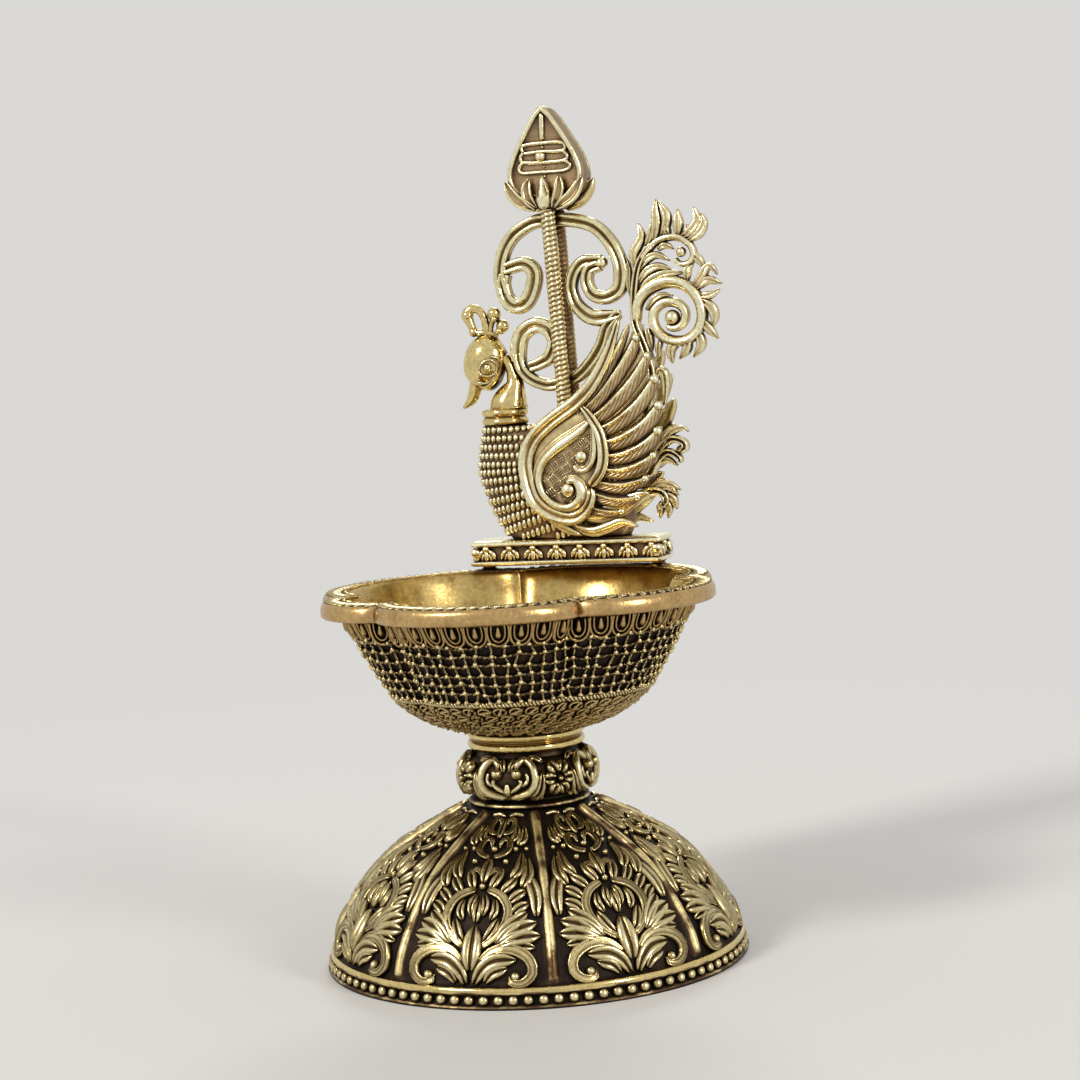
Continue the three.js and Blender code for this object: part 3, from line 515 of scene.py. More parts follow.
def run_tree(made, tree, values):
    """Runs the tree on an object, which keeps the plain mesh that comes out."""
    modifier = made.modifiers.new(tree.name, "NODES")
    modifier.node_group = tree
    for item in tree.interface.items_tree:
        if item.item_type == "SOCKET" and item.in_out == "INPUT" and item.name in values:
            modifier[item.identifier] = values[item.name]
    depsgraph = bpy.context.evaluated_depsgraph_get()
    result = bpy.data.meshes.new_from_object(made.evaluated_get(depsgraph), depsgraph=depsgraph)
    made.modifiers.clear()
    made.data = result
    result.name = made.name
    result.shade_smooth()
    return made


def copies_of(name, part, points, fields, tree, values):
    """Runs a tree that copies a motif. The motif is removed once the copies are made."""
    motif = shape(name + "_motif", part[0], [], part[1], {"worn": part[2]})
    made = run_tree(shape(name, points, [], [], fields), tree, {"Motif": motif, **values})
    bpy.data.objects.remove(motif)
    return made


# %% Tree that sets a motif on points
set_tree, given = new_tree("set_on_points", [("Motif", "Object", None), ("Motif Scale", "Float", 1.0)])
copied = node(set_tree, "GeometryNodeObjectInfo", {"Object": given["Motif"]}, transform_space="ORIGINAL")
rotation = node(set_tree, "FunctionNodeEulerToRotation", {0: read_field(set_tree, "turn", "FLOAT_VECTOR")})
size = scaled(set_tree, read_field(set_tree, "size", "FLOAT_VECTOR"), given["Motif Scale"])
cloud = node(set_tree, "GeometryNodeMeshToPoints", {"Mesh": given["Geometry"]})
copies = node(set_tree, "GeometryNodeInstanceOnPoints", {
    "Points": cloud.outputs[0], "Instance": copied.outputs["Geometry"],
    "Rotation": rotation.outputs[0], "Scale": size})
finish_tree(set_tree, copies.outputs[0], given)


def scatter(name, places, part, finish, scale=1.0):
    """Sets a motif on places. Each place is (point, x direction, outward direction, size)."""
    turns = []
    for _, across, out, _ in places:
        out = unit(np.asarray(out, float))
        across = unit(np.asarray(across, float) - out * np.dot(across, out))
        turns.append(Matrix((across, np.cross(out, across), out)).transposed().to_euler()[:])
    sizes = np.array([np.broadcast_to(p[3], 3) for p in places], float)
    settle(copies_of(name, part, np.array([p[0] for p in places]), {"turn": np.array(turns), "size": sizes}, set_tree,
                     {"Motif Scale": scale, "Material": finish}))


# %% Tree that copies a motif round the axis
ring_tree, given = new_tree("copy_round_axis", [("Motif", "Object", None), ("Count", "Int", 8)])
copied = node(ring_tree, "GeometryNodeObjectInfo", {"Object": given["Motif"]}, transform_space="ORIGINAL")
spots = node(ring_tree, "GeometryNodePoints", {"Count": given["Count"]})
angle = number(ring_tree, "GeometryNodeInputIndex") * (TURN / Number(ring_tree, given["Count"]))
spin = node(ring_tree, "ShaderNodeCombineXYZ", {"Z": angle})
rotation = node(ring_tree, "FunctionNodeEulerToRotation", {0: spin.outputs[0]})
copies = node(ring_tree, "GeometryNodeInstanceOnPoints", {
    "Points": spots.outputs[0], "Instance": copied.outputs["Geometry"], "Rotation": rotation.outputs[0]})
finish_tree(ring_tree, copies.outputs[0], given)


def round_axis(name, part, count, finish):
    """Copies a motif round the lamp's axis."""
    settle(copies_of(name, part, [(0, 0, 0)], {}, ring_tree, {"Count": count, "Material": finish}))


# %% Tree that winds a twisted cord along a line
cord_tree, given = new_tree("twisted_cord", [
    ("Radius", "Float", 0.5), ("Strands", "Float", 3.0), ("Strand Depth", "Float", 0.2),
    ("Pitch", "Float", 3.0), ("Step", "Float", 0.3), ("Strand Wear", "Float", 0.4)])
wire = node(cord_tree, "GeometryNodeMeshToCurve", {"Mesh": given["Geometry"]})
stepped = node(cord_tree, "GeometryNodeResampleCurve", {"Curve": wire.outputs[0], "Length": given["Step"]},
               mode="LENGTH")
twist = number(cord_tree, "GeometryNodeSplineParameter", out="Length") / given["Pitch"] * TURN
tilted = node(cord_tree, "GeometryNodeSetCurveTilt", {"Curve": stepped.outputs[0], "Tilt": twist})
profile = node(cord_tree, "GeometryNodeCurvePrimitiveCircle", {"Resolution": 15, "Radius": given["Radius"]})
spot, x, y = position(cord_tree)
strand = (y.math("ARCTAN2", x) * given["Strands"]).math("COSINE")
wave = 1.0 - ((1.0 - strand) * 0.5).math("POWER", 2.0) * 2.0
swollen = scaled(cord_tree, spot, wave * given["Strand Depth"] + 1.0)
lobed = node(cord_tree, "GeometryNodeSetPosition", {"Geometry": profile.outputs[0], "Position": swollen})
rubbed = store_worn(cord_tree, lobed.outputs[0], (wave * given["Strand Wear"]).math("ADD", 0.55, clamp=True))
wound = node(cord_tree, "GeometryNodeCurveToMesh", {
    "Curve": tilted.outputs[0], "Profile Curve": rubbed, "Fill Caps": True})
finish_tree(cord_tree, wound.outputs[0], given)


def cords(name, lines, finish, radius, depth, pitch, step, closed=False, wear=0.4):
    """Winds a cord of two strands along each line, in millimetres."""
    edges, start = [], 0
    for line in lines:
        edges += [(start + k, start + k + 1) for k in range(len(line) - 1)]
        if closed:
            edges.append((start + len(line) - 1, start))
        start += len(line)
    return run_tree(shape(name, np.vstack(lines), edges, [], {}), cord_tree, {
        "Radius": radius * MM, "Strands": 2.0, "Strand Depth": depth, "Pitch": pitch * MM,
        "Step": step * MM, "Strand Wear": wear, "Material": finish})


print("node trees:", [t.name for t in bpy.data.node_groups])


# %% [markdown]
# ## The domed foot
# The real foot was cast in one piece as a hollow dome, with a row of beads round its edge and
# eight raised ribs. A turned shape is a profile carried round an axis, so the rings of points
# come from a list of radius and height pairs. The ribs are a rule, so a node tree raises them:
# it reads each point's angle, measures the distance to the nearest rib and pushes outwards.


# %% Helper that turns a profile
def lathe(profile, count=192, looped=False, worn=1.0, angles=None, at=(0, 0)):
    """Carries a profile of (radius, height) round an upright axis."""
    a = circle(count) if angles is None else np.radians(angles)
    rings = [np.stack([r * np.sin(a) + at[0], -r * np.cos(a) + at[1], np.full(count, z)], 1) for r, z in profile]
    return rings_part(np.array(rings), worn, not looped, looped)


DOME_CURVE = [(36.0, 3.7), (34.8, 7.6), (32.2, 11.9), (29.0, 16.0), (25.0, 19.8), (18.9, 23.6), (11.2, 27.8)]
dome_line = spline(DOME_CURVE, 60)
foot_line = [(37.9, 0.0), (38.0, 0.3), (37.6, 0.62), (36.9, 0.8), (36.7, 1.45), (36.9, 2.1), (37.25, 2.3),
             (37.5, 2.75), (37.3, 3.2), (36.7, 3.5), (36.2, 3.6)]
under_line = [(9.0, 26.3), (18.6, 21.4), (26.6, 15.6), (32.6, 8.0), (35.2, 0.0)]
wall = [*foot_line, *dome_line[1:].tolist(), (10.4, 28.2), (2.4, 28.2), (2.4, 26.3), *spline(under_line, 30)]
RIBS, COLUMNS = 8, 352
near_rib = np.linspace(-1, 1, COLUMNS // RIBS, endpoint=False)
slice_columns = 22.5 * np.sign(near_rib) * np.abs(near_rib) ** 1.7
columns = np.concatenate([22.5 + 45 * k + slice_columns for k in range(RIBS)])
dome_part = lathe(wall, COLUMNS, looped=True, angles=columns)
print("columns of the dome, closest at the ribs:", len(columns))

# %% Tree that raises ribs on the dome
rib_tree, given = new_tree("raise_ribs", [
    ("Rib Count", "Float", 8.0), ("Rib Height", "Float", 0.001), ("Rib Width", "Float", 0.0016)])
spot, x, y = position(rib_tree)
slice_angle = TURN / Number(rib_tree, given["Rib Count"])
folded = number(rib_tree, "ShaderNodeMath", {0: y.math("ARCTAN2", x), 1: slice_angle, 2: 0.0}, operation="WRAP")
from_rib = (folded - slice_angle * 0.5).math("ABSOLUTE")
flat = node(rib_tree, "ShaderNodeVectorMath", {0: spot, 1: (1, 1, 0)}, operation="MULTIPLY")
radius = node(rib_tree, "ShaderNodeVectorMath", {0: flat.outputs[0]}, operation="LENGTH").outputs["Value"]
distance = from_rib * radius / given["Rib Width"]
arch = (1.0 - distance.math("POWER", 2.0)).math("MAXIMUM").math("SQRT")
field = read_field(rib_tree, "field")
normal = node(rib_tree, "GeometryNodeInputNormal").outputs[0]
push = scaled(rib_tree, normal, arch * given["Rib Height"] * field)
ribbed = node(rib_tree, "GeometryNodeSetPosition", {"Geometry": given["Geometry"], "Offset": push})
rubbed = (arch * field).math("MULTIPLY", 1.7, clamp=True).math("MAXIMUM", read_field(rib_tree, "lip"))
finish_tree(rib_tree, store_worn(rib_tree, ribbed.outputs[0], rubbed), given)

field_rows, lip_rows = np.zeros((2, len(dome_part[0]) // COLUMNS))
lip_rows[:len(foot_line)] = [0.4, 0.8, 1.0, 0.8, 0.4, 0.3, 0.7, 1.0, 0.9, 0.5, 0.2]
field_rows[len(foot_line):len(foot_line) + 58] = 1
points, faces, worn = dome_part
dome = shape("domed_foot", points, [], faces, {
    "worn": worn, "field": np.repeat(field_rows, COLUMNS), "lip": np.repeat(lip_rows, COLUMNS)})
run_tree(dome, rib_tree, {
    "Rib Count": float(RIBS), "Rib Height": 1.0 * MM, "Rib Width": 0.95 * MM, "Material": ground_brass})
settle(dome, replaces=("base_dome",))

# %% [markdown]
# ## Beads and edge of the foot
# A string of half-round beads sits in the channel between the lip and the bright fillet. In the
# real mould one bead punch was struck again and again. Here one low bead is copied ninety-two
# times round the axis by the node tree.

# %% Bead string
lift = np.linspace(-math.pi / 2 + 0.3, math.pi / 2 - 0.3, 6)
rings = ball_rings(lift[0], lift[-1], 6, 10)[..., [0, 2, 1]] * [1, -1, 1] * 0.98 * [1, 0.9, 1] + [0, -37.02, 1.45]
round_axis("foot_beads", rings_part(rings, 0.25 + 0.75 * np.maximum(np.sin(lift), 0)[:, None]), 92, relief_brass)
fillet = [(36.95 + 0.55 * math.cos(a), 3.0 + 0.6 * math.sin(a)) for a in np.linspace(0, TURN, 10)[:-1]]
piece("foot_fillet", lathe(fillet, 240, looped=True), smooth_brass)

# %% [markdown]
# ## Chased panels of the foot
# Each panel between two ribs holds the same foliage: two large scrolls with ball ends at the
# foot, a bud between them, a fan of lobed leaves at each side, an arch of leaves and more curls
# up to the collar. It is drawn once in panel coordinates, half of it, mirrored, carried onto the
# dome by the skin function and then copied eight times round the axis.

# %% The panel's skin
def panel_skin(q):
    """Across is -1 to 1 between the ribs, up is 0 at the foot and 1 at the collar."""
    z = 3.7 + 24.1 * np.clip(q[:, 1], -0.02, 1.02)
    r = np.interp(z, dome_line[:, 1], dome_line[:, 0]) + 0.02
    a = np.radians(q[:, 0] * (22.5 - np.degrees(1.15 / r)))
    return np.stack([r * np.sin(a), -r * np.cos(a), z], 1)


# %% The panel's foliage
half_panel = [
    ("band", [(0.05, 0.07), (0.16, 0.165), (0.36, 0.225), (0.6, 0.222), (0.79, 0.165), (0.83, 0.08),
              (0.7, 0.012), (0.54, 0.02), (0.52, 0.06)], [0.45, 1.0, 1.1, 1.05, 0.9, 0.75], [0.7, 1.25, 1.3, 1.1]),
    ("stud", [(0.6, 0.058)], 0.95, 1.15),
    ("leaf", [(0.06, 0.012), (0.15, 0.10), (0.34, 0.16), (0.62, 0.165)], 1.65, 1.25),
    ("leaf", [(0.2, 0.018), (0.3, 0.08), (0.5, 0.115)], 1.20, 1.0),
    ("leaf", [(0.4, 0.245), (0.62, 0.252), (0.88, 0.235)], 1.31, 1.1),
    ("leaf", [(0.36, 0.25), (0.64, 0.295), (0.97, 0.305)], 1.71, 1.25),
    ("leaf", [(0.34, 0.255), (0.6, 0.34), (0.93, 0.385)], 1.82, 1.3),
    ("leaf", [(0.34, 0.27), (0.54, 0.37), (0.8, 0.45)], 1.60, 1.25),
    ("band", [(0.1, 0.235), (0.28, 0.29), (0.45, 0.37), (0.5, 0.46), (0.38, 0.54), (0.1, 0.585)],
     [0.55, 0.85, 0.9, 0.7], [0.9, 1.2, 1.0]),
    ("leaf", [(0.54, 0.42), (0.66, 0.47), (0.84, 0.5)], 1.14, 1.1),
    ("leaf", [(0.5, 0.5), (0.64, 0.545), (0.8, 0.575)], 1.14, 1.1),
    ("leaf", [(0.36, 0.56), (0.5, 0.605), (0.64, 0.65)], 1.08, 1.05),
    ("leaf", [(0.16, 0.585), (0.24, 0.635), (0.34, 0.70)], 1.03, 1.05),
    ("leaf", [(0.08, 0.555), (0.12, 0.49), (0.09, 0.425)], 0.85, 1.0),
    ("leaf", [(0.27, 0.525), (0.29, 0.46), (0.22, 0.40)], 0.85, 1.0),
    ("leaf", [(0.15, 0.27), (0.24, 0.32), (0.36, 0.42)], 1.03, 1.1),
    ("leaf", [(0.93, 0.42), (0.94, 0.54), (0.84, 0.675)], 1.37, 1.1),
    ("leaf", [(0.72, 0.59), (0.84, 0.66), (0.84, 0.76)], 1.25, 1.1),
    ("leaf", [(0.52, 0.64), (0.68, 0.70), (0.72, 0.79)], 1.14, 1.0),
    ("stud", [(0.36, 0.735)], 0.6, 0.9), ("stud", [(0.56, 0.80)], 0.58, 0.85), ("stud", [(0.83, 0.80)], 0.5, 0.75),
    ("band", [(0.05, 0.66), (0.2, 0.69), (0.32, 0.665)], [0.4, 0.6, 0.4], [0.8, 1.0, 0.7]),
    ("band", [(0.06, 0.755), (0.26, 0.77), (0.4, 0.80), (0.36, 0.845), (0.16, 0.845), (0.12, 0.815)],
     [0.5, 0.62, 0.6, 0.5], [0.9, 1.1, 0.9]),
    ("leaf", [(0.62, 0.82), (0.78, 0.86), (0.8, 0.93)], 0.97, 0.95),
    ("leaf", [(0.44, 0.84), (0.56, 0.88), (0.54, 0.93)], 0.91, 0.9),
    ("band", [(0.08, 0.88), (0.3, 0.885), (0.44, 0.92), (0.36, 0.955), (0.16, 0.95), (0.12, 0.925)],
     [0.4, 0.55, 0.5, 0.4], [0.8, 1.0, 0.8]),
    ("vine", [(0.1, 0.975), (0.4, 0.985), (0.8, 0.98)], [0.35, 0.45, 0.35], [0.6, 0.8, 0.6]),
]
middle_panel = [
    ("leaf", [(0, 0.10), (0, 0.23), (0, 0.375)], 2.0, 1.6),
    ("leaf", [(0, 0.39), (0, 0.45), (0, 0.53)], 0.95, 1.2),
    ("leaf", [(0, 0.62), (0, 0.68), (0, 0.755)], 1.1, 1.15),
    ("leaf", [(0, 0.86), (0, 0.91), (0, 0.965)], 0.7, 0.95),
    ("stud", [(0, 0.6)], 0.7, 1.0), ("stud", [(0, 0.80)], 0.7, 0.95),
]
round_axis("foot_foliage", carve(panel_skin, mirrored(half_panel) + middle_panel), 8, relief_brass)

# %% [markdown]
# ## The carved knop
# Between the foot and the bowl the stem swells into a knop. Four flowers alternate with four
# pairs of scrolls, all standing well proud of a dark ground. The core is turned, and the relief
# is drawn round it in degrees and millimetres of height.

# %% Knop core
knop_line = [(10.4, 28.2), (10.9, 28.45), (10.9, 28.95), (10.2, 29.4), (9.7, 29.8), (10.1, 30.3), (10.9, 31.0),
             (11.5, 32.2), (11.7, 33.8), (11.2, 35.4), (10.2, 36.6), (9.4, 37.1), (9.2, 37.6), (9.2, 38.1)]
knop_curve = spline(knop_line, 60)
knop_rows = np.array([(2.4, 28.2), *knop_curve.tolist(), (2.4, 38.1)])
knop_worn = np.interp(knop_rows[:, 1], [29.4, 30.4, 36.8, 37.4], [0.95, 0.3, 0.3, 0.9])[:, None]
piece("knop_core", lathe(knop_rows, 160, looped=True, worn=knop_worn), ground_brass, replaces=("stem_knop",))


def knop_skin(q):
    a = np.radians(q[:, 0])
    r = np.interp(q[:, 1], knop_curve[:, 1], knop_curve[:, 0])
    return np.stack([r * np.sin(a), -r * np.cos(a), q[:, 1]], 1)


# %% Knop relief, one quarter turn
half_scroll = [
    ("vine", [(0.5, 30.9), (11, 31.1), (21, 32.0), (25, 33.9), (22, 35.9), (15, 36.7), (8.5, 35.8), (7.5, 34.7)],
     [0.45, 0.8, 0.85, 0.75, 0.7], [1.0, 1.4, 1.35, 1.1]),
    ("stud", [(8.8, 34.7)], 1.1, 1.6),
    ("vine", [(2, 31.6), (8, 32.3), (12.5, 33.2), (10.5, 33.9)], [0.4, 0.5, 0.36], [0.7, 0.9, 0.7]),
    ("vine", [(13, 32.6), (18, 33.6), (17, 35.0)], [0.3, 0.5, 0.4], [0.5, 0.8, 0.6]),
    ("leaf", [(20, 30.7), (28, 31.8), (31.5, 35.2)], 1.1, 1.35),
    ("leaf", [(17, 36.5), (25, 36.9), (33, 36.3)], 0.75, 1.0), ("stud", [(29.5, 30.7)], 0.6, 0.9),
    ("leaf", [(3.0, 35.0), (4.2, 36.0), (7.0, 37.0)], 0.7, 0.9),
]
scroll_middle = [("vine", [(0, 30.6), (0, 32.0), (0, 33.2)], [0.6, 0.8, 0.35], [0.8, 1.1, 0.6])]
FLOWER_X, FLOWER_Z = 45, 33.7
flower = []
for a in np.radians(60 * np.arange(6) + 30):
    ray = [(FLOWER_X + far * (13.5 * math.sin(a)), FLOWER_Z + far * (2.9 * math.cos(a))) for far in (0.28, 0.62, 1)]
    flower.append(("leaf", ray, 1.3, 1.55))
for a in np.radians(72 * np.arange(5)):
    flower.append(("stud", [(FLOWER_X + 5.2 * math.sin(a), FLOWER_Z + 1.1 * math.cos(a))], 0.5, 1.55))
flower.append(("stud", [(FLOWER_X, FLOWER_Z)], 0.62, 1.9))
round_axis("knop_relief", carve(knop_skin, mirrored(half_scroll) + scroll_middle + flower), 4, relief_brass)

# %% [markdown]
# ## Collar, tie stud and nut
# Two plain polished rings sit under the bowl. A steel stud runs down through the stem and is
# drawn tight by a washer and a hexagon nut inside the foot, which is how such lamps are joined.
# The steel parts keep their frame shapes and only get a finish.

# %% Collar
collar_line = [(9.4, 38.1), (10.0, 38.2), (10.45, 38.5), (10.65, 38.95), (10.5, 39.45), (10.1, 39.8), (9.85, 39.95),
               (10.1, 40.1), (10.5, 40.4), (10.65, 40.85), (10.5, 41.3), (10.1, 41.65), (9.6, 41.8)]
piece("collar_rings", lathe([(2.4, 38.1), *collar_line, (2.4, 41.8)], 160, looped=True), smooth_brass,
      slot="polished_brass", replaces=("stem_collar",))
for steel in ("tie_stud", "tie_washer", "tie_nut"):
    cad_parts[steel].data.materials.clear()
    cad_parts[steel].data.materials.append(turned_steel)

# %% [markdown]
# ## The lobed bowl
# The oil bowl is a shallow dish whose edge swells in five lobes, with a pointed cusp between each
# two and a narrower lobe at the left for the wick. The rule is the same at every height: the
# indent is greatest at the rim and fades to nothing at the foot. So one function gives the
# indent at an angle, and the profile is carried round with it.

# %% The bowl's rule
CUSPS, REACH = (-66, -29, 37, 104, 198, 294), (-1.4, 0, 0, 0, 0)
LOBES = list(zip(CUSPS[:-1], CUSPS[1:], REACH))
RIM_OUT, RIM_TOP = 37.6, 66.72
SOFT = 2e-4  # rounds the cusps a little


def indent(degrees):
    a = (np.asarray(degrees, float) + 66) % 360 - 66
    result = np.zeros_like(a)
    for start, end, reach in LOBES:
        inside = (a >= start) & (a <= end)
        swell = (np.sin(math.pi * (a - start) / (end - start)) ** 2 + SOFT) ** 0.25 - SOFT ** 0.25
        swell = swell / (1 - SOFT ** 0.25)
        result = np.where(inside, 5.4 * (1 - swell) - reach * swell, result)
    return result


def bowl_point(degrees, r, z):
    rise = np.clip((z - 43.4) / 23.5, 0, 1)
    rr = r - indent(degrees) * rise ** 0.8
    a = np.radians(degrees)
    return np.stack([rr * np.sin(a), -rr * np.cos(a), z + 0 * rr], -1)


# %% Angles that are closer at the cusps
lobe_angles = []
for start, end, _ in LOBES:
    t = np.linspace(0, 1, int((end - start) * 1.15), endpoint=False)
    lobe_angles.append(start + (end - start) * (t - np.sin(2 * math.pi * t) / (2 * math.pi) * 0.75))
lobe_angles = np.concatenate(lobe_angles)
print("angles round the bowl:", len(lobe_angles))


# %% Outer wall, well and rim
outside = spline([(9.8, 41.8), (15.5, 43.6), (20.0, 45.9), (23.8, 48.9), (28.4, 55.2), (33.6, 64.1)], 60)
inside = spline([(32.6, 65.9), (29.4, 59.0), (24.8, 52.0), (19.0, 47.6), (13.0, 45.6), (7.0, 45.0), (0.3, 45.0)], 50)
rim_side = [(34.6, 64.25), (36.6, 64.0), (37.3, 64.05), (37.7, 64.4), (37.8, 65.2), (37.75, 66.1), (37.5, 66.6),
            (37.1, 66.85)]
rim_inner = [(33.6, 66.85), (33.25, 66.75), (32.95, 66.45), (32.6, 65.9)]
bowl_profile = [*outside.tolist(), *rim_side, (36.9, RIM_TOP), (33.7, RIM_TOP), *rim_inner,
                *inside[1:].tolist()]
top_row = len(outside) + len(rim_side)
metals = [ground_brass, rim_copper, bowl_gold]
row_metal = [int(k >= len(outside)) + int(k >= top_row + 3) for k in range(len(bowl_profile) - 1)]
bands = np.repeat([*row_metal, 0, 2], len(lobe_angles))
dark_rows = [*range(len(outside)), top_row, top_row + 1]
row_worn = np.array([0.1 if k in dark_rows else 1.0 for k in range(len(bowl_profile))])[:, None]
rings = np.array([bowl_point(lobe_angles, r, z) for r, z in bowl_profile])
piece("bowl_body", rings_part(rings, row_worn), metals, replaces=("bowl",), bands=bands, crease=50)
slope = lengths(outside)


def bowl_skin(q):
    """Across is the angle in degrees, up is millimetres along the slope from the collar."""
    z = np.interp(q[:, 1], slope, outside[:, 1])
    r = np.interp(q[:, 1], slope, outside[:, 0])
    return bowl_point(q[:, 0], r, z)


print("length of the bowl's slope:", round(slope[-1], 1))

# %% [markdown]
# ## Drops under the rim
# A row of drops hangs under the rim, each two nested loops with a long bead inside. The drop is
# modelled once, standing on a flat patch, and set along the lobed wall by the node tree. Steps
# are equal along the wall, not in angle, so the row keeps its rhythm round every lobe.

# %% Places along the wall
def flat_skin(q):
    return np.stack([q[:, 0], q[:, 1], np.zeros(len(q))], 1)


def round_the_bowl(height, count, shift=0.0, skin=bowl_skin):
    """Angles at even steps along a level line, and the step."""
    dense = np.linspace(CUSPS[0], CUSPS[-1], 1441)
    far = lengths(skin(at_height(dense, height)))
    return np.interp((np.arange(count) + shift) / count * far[-1], far, dense), far[-1] / count


def upright(skin, angles, height, size, reach=0.3):
    """Places whose y direction points up the wall. A wide reach bridges the cusps."""
    places = []
    for a in angles:
        spots = [(a, height), (a - reach, height), (a + reach, height), (a, height + 0.1)]
        here, left, right, above = skin(np.array(spots))
        across = right - left
        out = unit(np.cross(across, above - here))
        bridge = max(0, float(((left + right) / 2 - here) @ out))
        places.append((here + out * bridge, across, out, size))
    return places


# %% Drop motif and row
drop = [
    vine(flat_skin, [(-1.9, 0.2), (-1.95, -1.8), (-1.45, -3.6), (0, -4.4), (1.45, -3.6), (1.95, -1.8), (1.9, 0.2)],
         0.33, 0.7, 18, tip=False),
    vine(flat_skin, [(-1.2, 0.2), (-1.22, -1.8), (-0.85, -3.0), (0, -3.55), (0.85, -3.0), (1.22, -1.8), (1.2, 0.2)],
         0.27, 0.66, 16, tip=False),
    vine(flat_skin, [(0, 0.1), (0, -1.0), (0, -2.0), (0, -2.75)], [0.24, 0.42, 0.66, 0.55], [0.7, 1.0, 1.25, 0.9], 9),
]
drop_row = slope[-1] - 0.35
angles, step = round_the_bowl(drop_row, 54)
scatter("rim_drops", upright(bowl_skin, angles, drop_row, 1.0, 3.6), merged(drop), drop_brass, scale=step / 4.15)
print("drop step:", round(step, 2))

# %% [markdown]
# ## Net, cord and knots
# Below the drops the wall is covered with a net of wavy wires, then a twisted cord, then rows of
# small knots. The wires are lines on the skin that a node tree turns into thin cords, with a
# seeded wobble because each was modelled in wax by hand. A bead sits where two wires cross.

# %% Net wires
rng = np.random.default_rng(7)
ROWS, ACROSS = 7, 86
levels = np.linspace(17.3, drop_row - 3.8, ROWS)
posts = np.linspace(CUSPS[0], CUSPS[-1], ACROSS, endpoint=False)
wobble = rng.normal(0, 1, (ROWS, ACROSS, 2)) * [0.55, 0.2]
crossings = np.stack([posts[None] + wobble[..., 0], levels[:, None] + wobble[..., 1]], -1)


def lifted(q, rise):
    """Points of the wall, raised off it."""
    here, _, out = frame_on(bowl_skin, q)
    return here + out * rise


def wire_row(base):
    """A wire that sags between its crossings and rises over the posts."""
    fine = np.linspace(0, ACROSS, ACROSS * 8, endpoint=False)
    looped = np.vstack([base, base[:1] + [360, 0]])
    a, h = (np.interp(fine, np.arange(ACROSS + 1), looped[:, k]) for k in (0, 1))
    sag = np.abs(np.sin(fine * math.pi)) * 0.55
    return lifted(np.stack([a, h - sag], 1), 0.36 + 0.18 * np.cos(fine * 2 * math.pi)[:, None])


post_lines = [lifted(spline(crossings[:, k], 16), 0.28) for k in range(ACROSS)]
settle(cords("net_rows", [wire_row(row) for row in crossings], net_brass, 0.27, 0.25, 1.1, 0.42, True))
settle(cords("net_posts", post_lines, net_brass, 0.21, 0.25, 1.3, 0.42))


# %% Beads at the crossings
def pearl(radius, rows=5, sides=8, squash=1.0):
    """A low bead for a wall, with its lowest part sunk in."""
    rings = ball_rings(-0.5, math.pi / 2 - 0.25, rows, sides) * [1, 1, squash] * radius
    return rings_part(rings, np.linspace(0.2, 1, rows)[:, None])


knots = []
for base, jitter in zip(crossings, wobble):
    here, side, out = frame_on(bowl_skin, base)
    knots += [(here[j] + out[j] * 0.45, side[j], out[j], 1 + 0.2 * jitter[j, 1]) for j in range(ACROSS)]
scatter("net_beads", knots, pearl(0.43), net_brass)

# %% Twisted cord and knot rows
waist = at_height(np.linspace(CUSPS[0], CUSPS[-1], 720, endpoint=False), 16.5)
settle(cords("waist_cord", [lifted(waist, 0.35)], strap_brass, 0.5, 0.2, 1.3, 0.22, True))

knot = merged([
    vine(flat_skin, [(0.95, 0), (0.55, 0.72), (-0.3, 0.85), (-0.95, 0.1), (-0.55, -0.72), (0.35, -0.8), (0.9, -0.2)],
         0.27, 0.62, 16, tip=False),
    vine(flat_skin, [(-1.0, -0.9), (-0.2, -0.2), (0.5, 0.5), (1.1, 1.0)], 0.26, 0.85, 8),
    stud(flat_skin, (0, 0), 0.42, 0.95, 4, 8),
])
places = []
for k, height in enumerate([14.6, 12.3, 10.0, 7.7, 5.4, 3.1]):
    count = int(round(TURN * np.interp(height, slope, outside[:, 0]) / 2.7))
    angles, _ = round_the_bowl(height, count, 0.5 * (k % 2))
    for p, across, out, _ in upright(bowl_skin, angles, height, 1.0):
        swing = rng.normal(0, 0.35)
        across = unit(across) * math.cos(swing) + unit(np.cross(out, across)) * math.sin(swing)
        places.append((p, across, out, 1.02 + 0.16 * rng.random()))
scatter("knot_rows", places, knot, knot_brass)

# %% [markdown]
# ## The rim's border
# The flat top of the rim carries slanted leaves with a twisted line along the inner edge. The
# slant is what the eye reads first, so each leaf is turned in its own place by the same tree.


# %% Rim leaves
def rim_skin(q):
    """Across is the angle, up is millimetres inwards from the outer edge of the rim."""
    return bowl_point(q[:, 0], RIM_OUT - q[:, 1], np.full(len(q), RIM_TOP))


rim_leaf = merged([
    leaf(flat_skin, [(-0.9, -1.35), (0.0, -0.3), (0.35, 0.6), (1.1, 1.3)], 0.66, 0.52, 9),
    vine(flat_skin, [(-1.5, -0.1), (-0.9, 0.6), (-0.55, 1.35)], 0.22, 0.32, 6),
])
angles, step = round_the_bowl(1.9, 116, skin=rim_skin)
places = [(p, across, (0, 0, 1), size) for p, across, _, size in upright(rim_skin, angles, 1.9, 1.0)]
scatter("rim_leaves", places, rim_leaf, relief_brass, scale=step / 2.0)
inner_line = rim_skin(at_height(np.linspace(CUSPS[0], CUSPS[-1], 1000, endpoint=False), 3.95)) + [0, 0, 0.05]
settle(cords("rim_cord", [inner_line], smooth_brass, 0.36, 0.3, 1.3, 0.3, True))

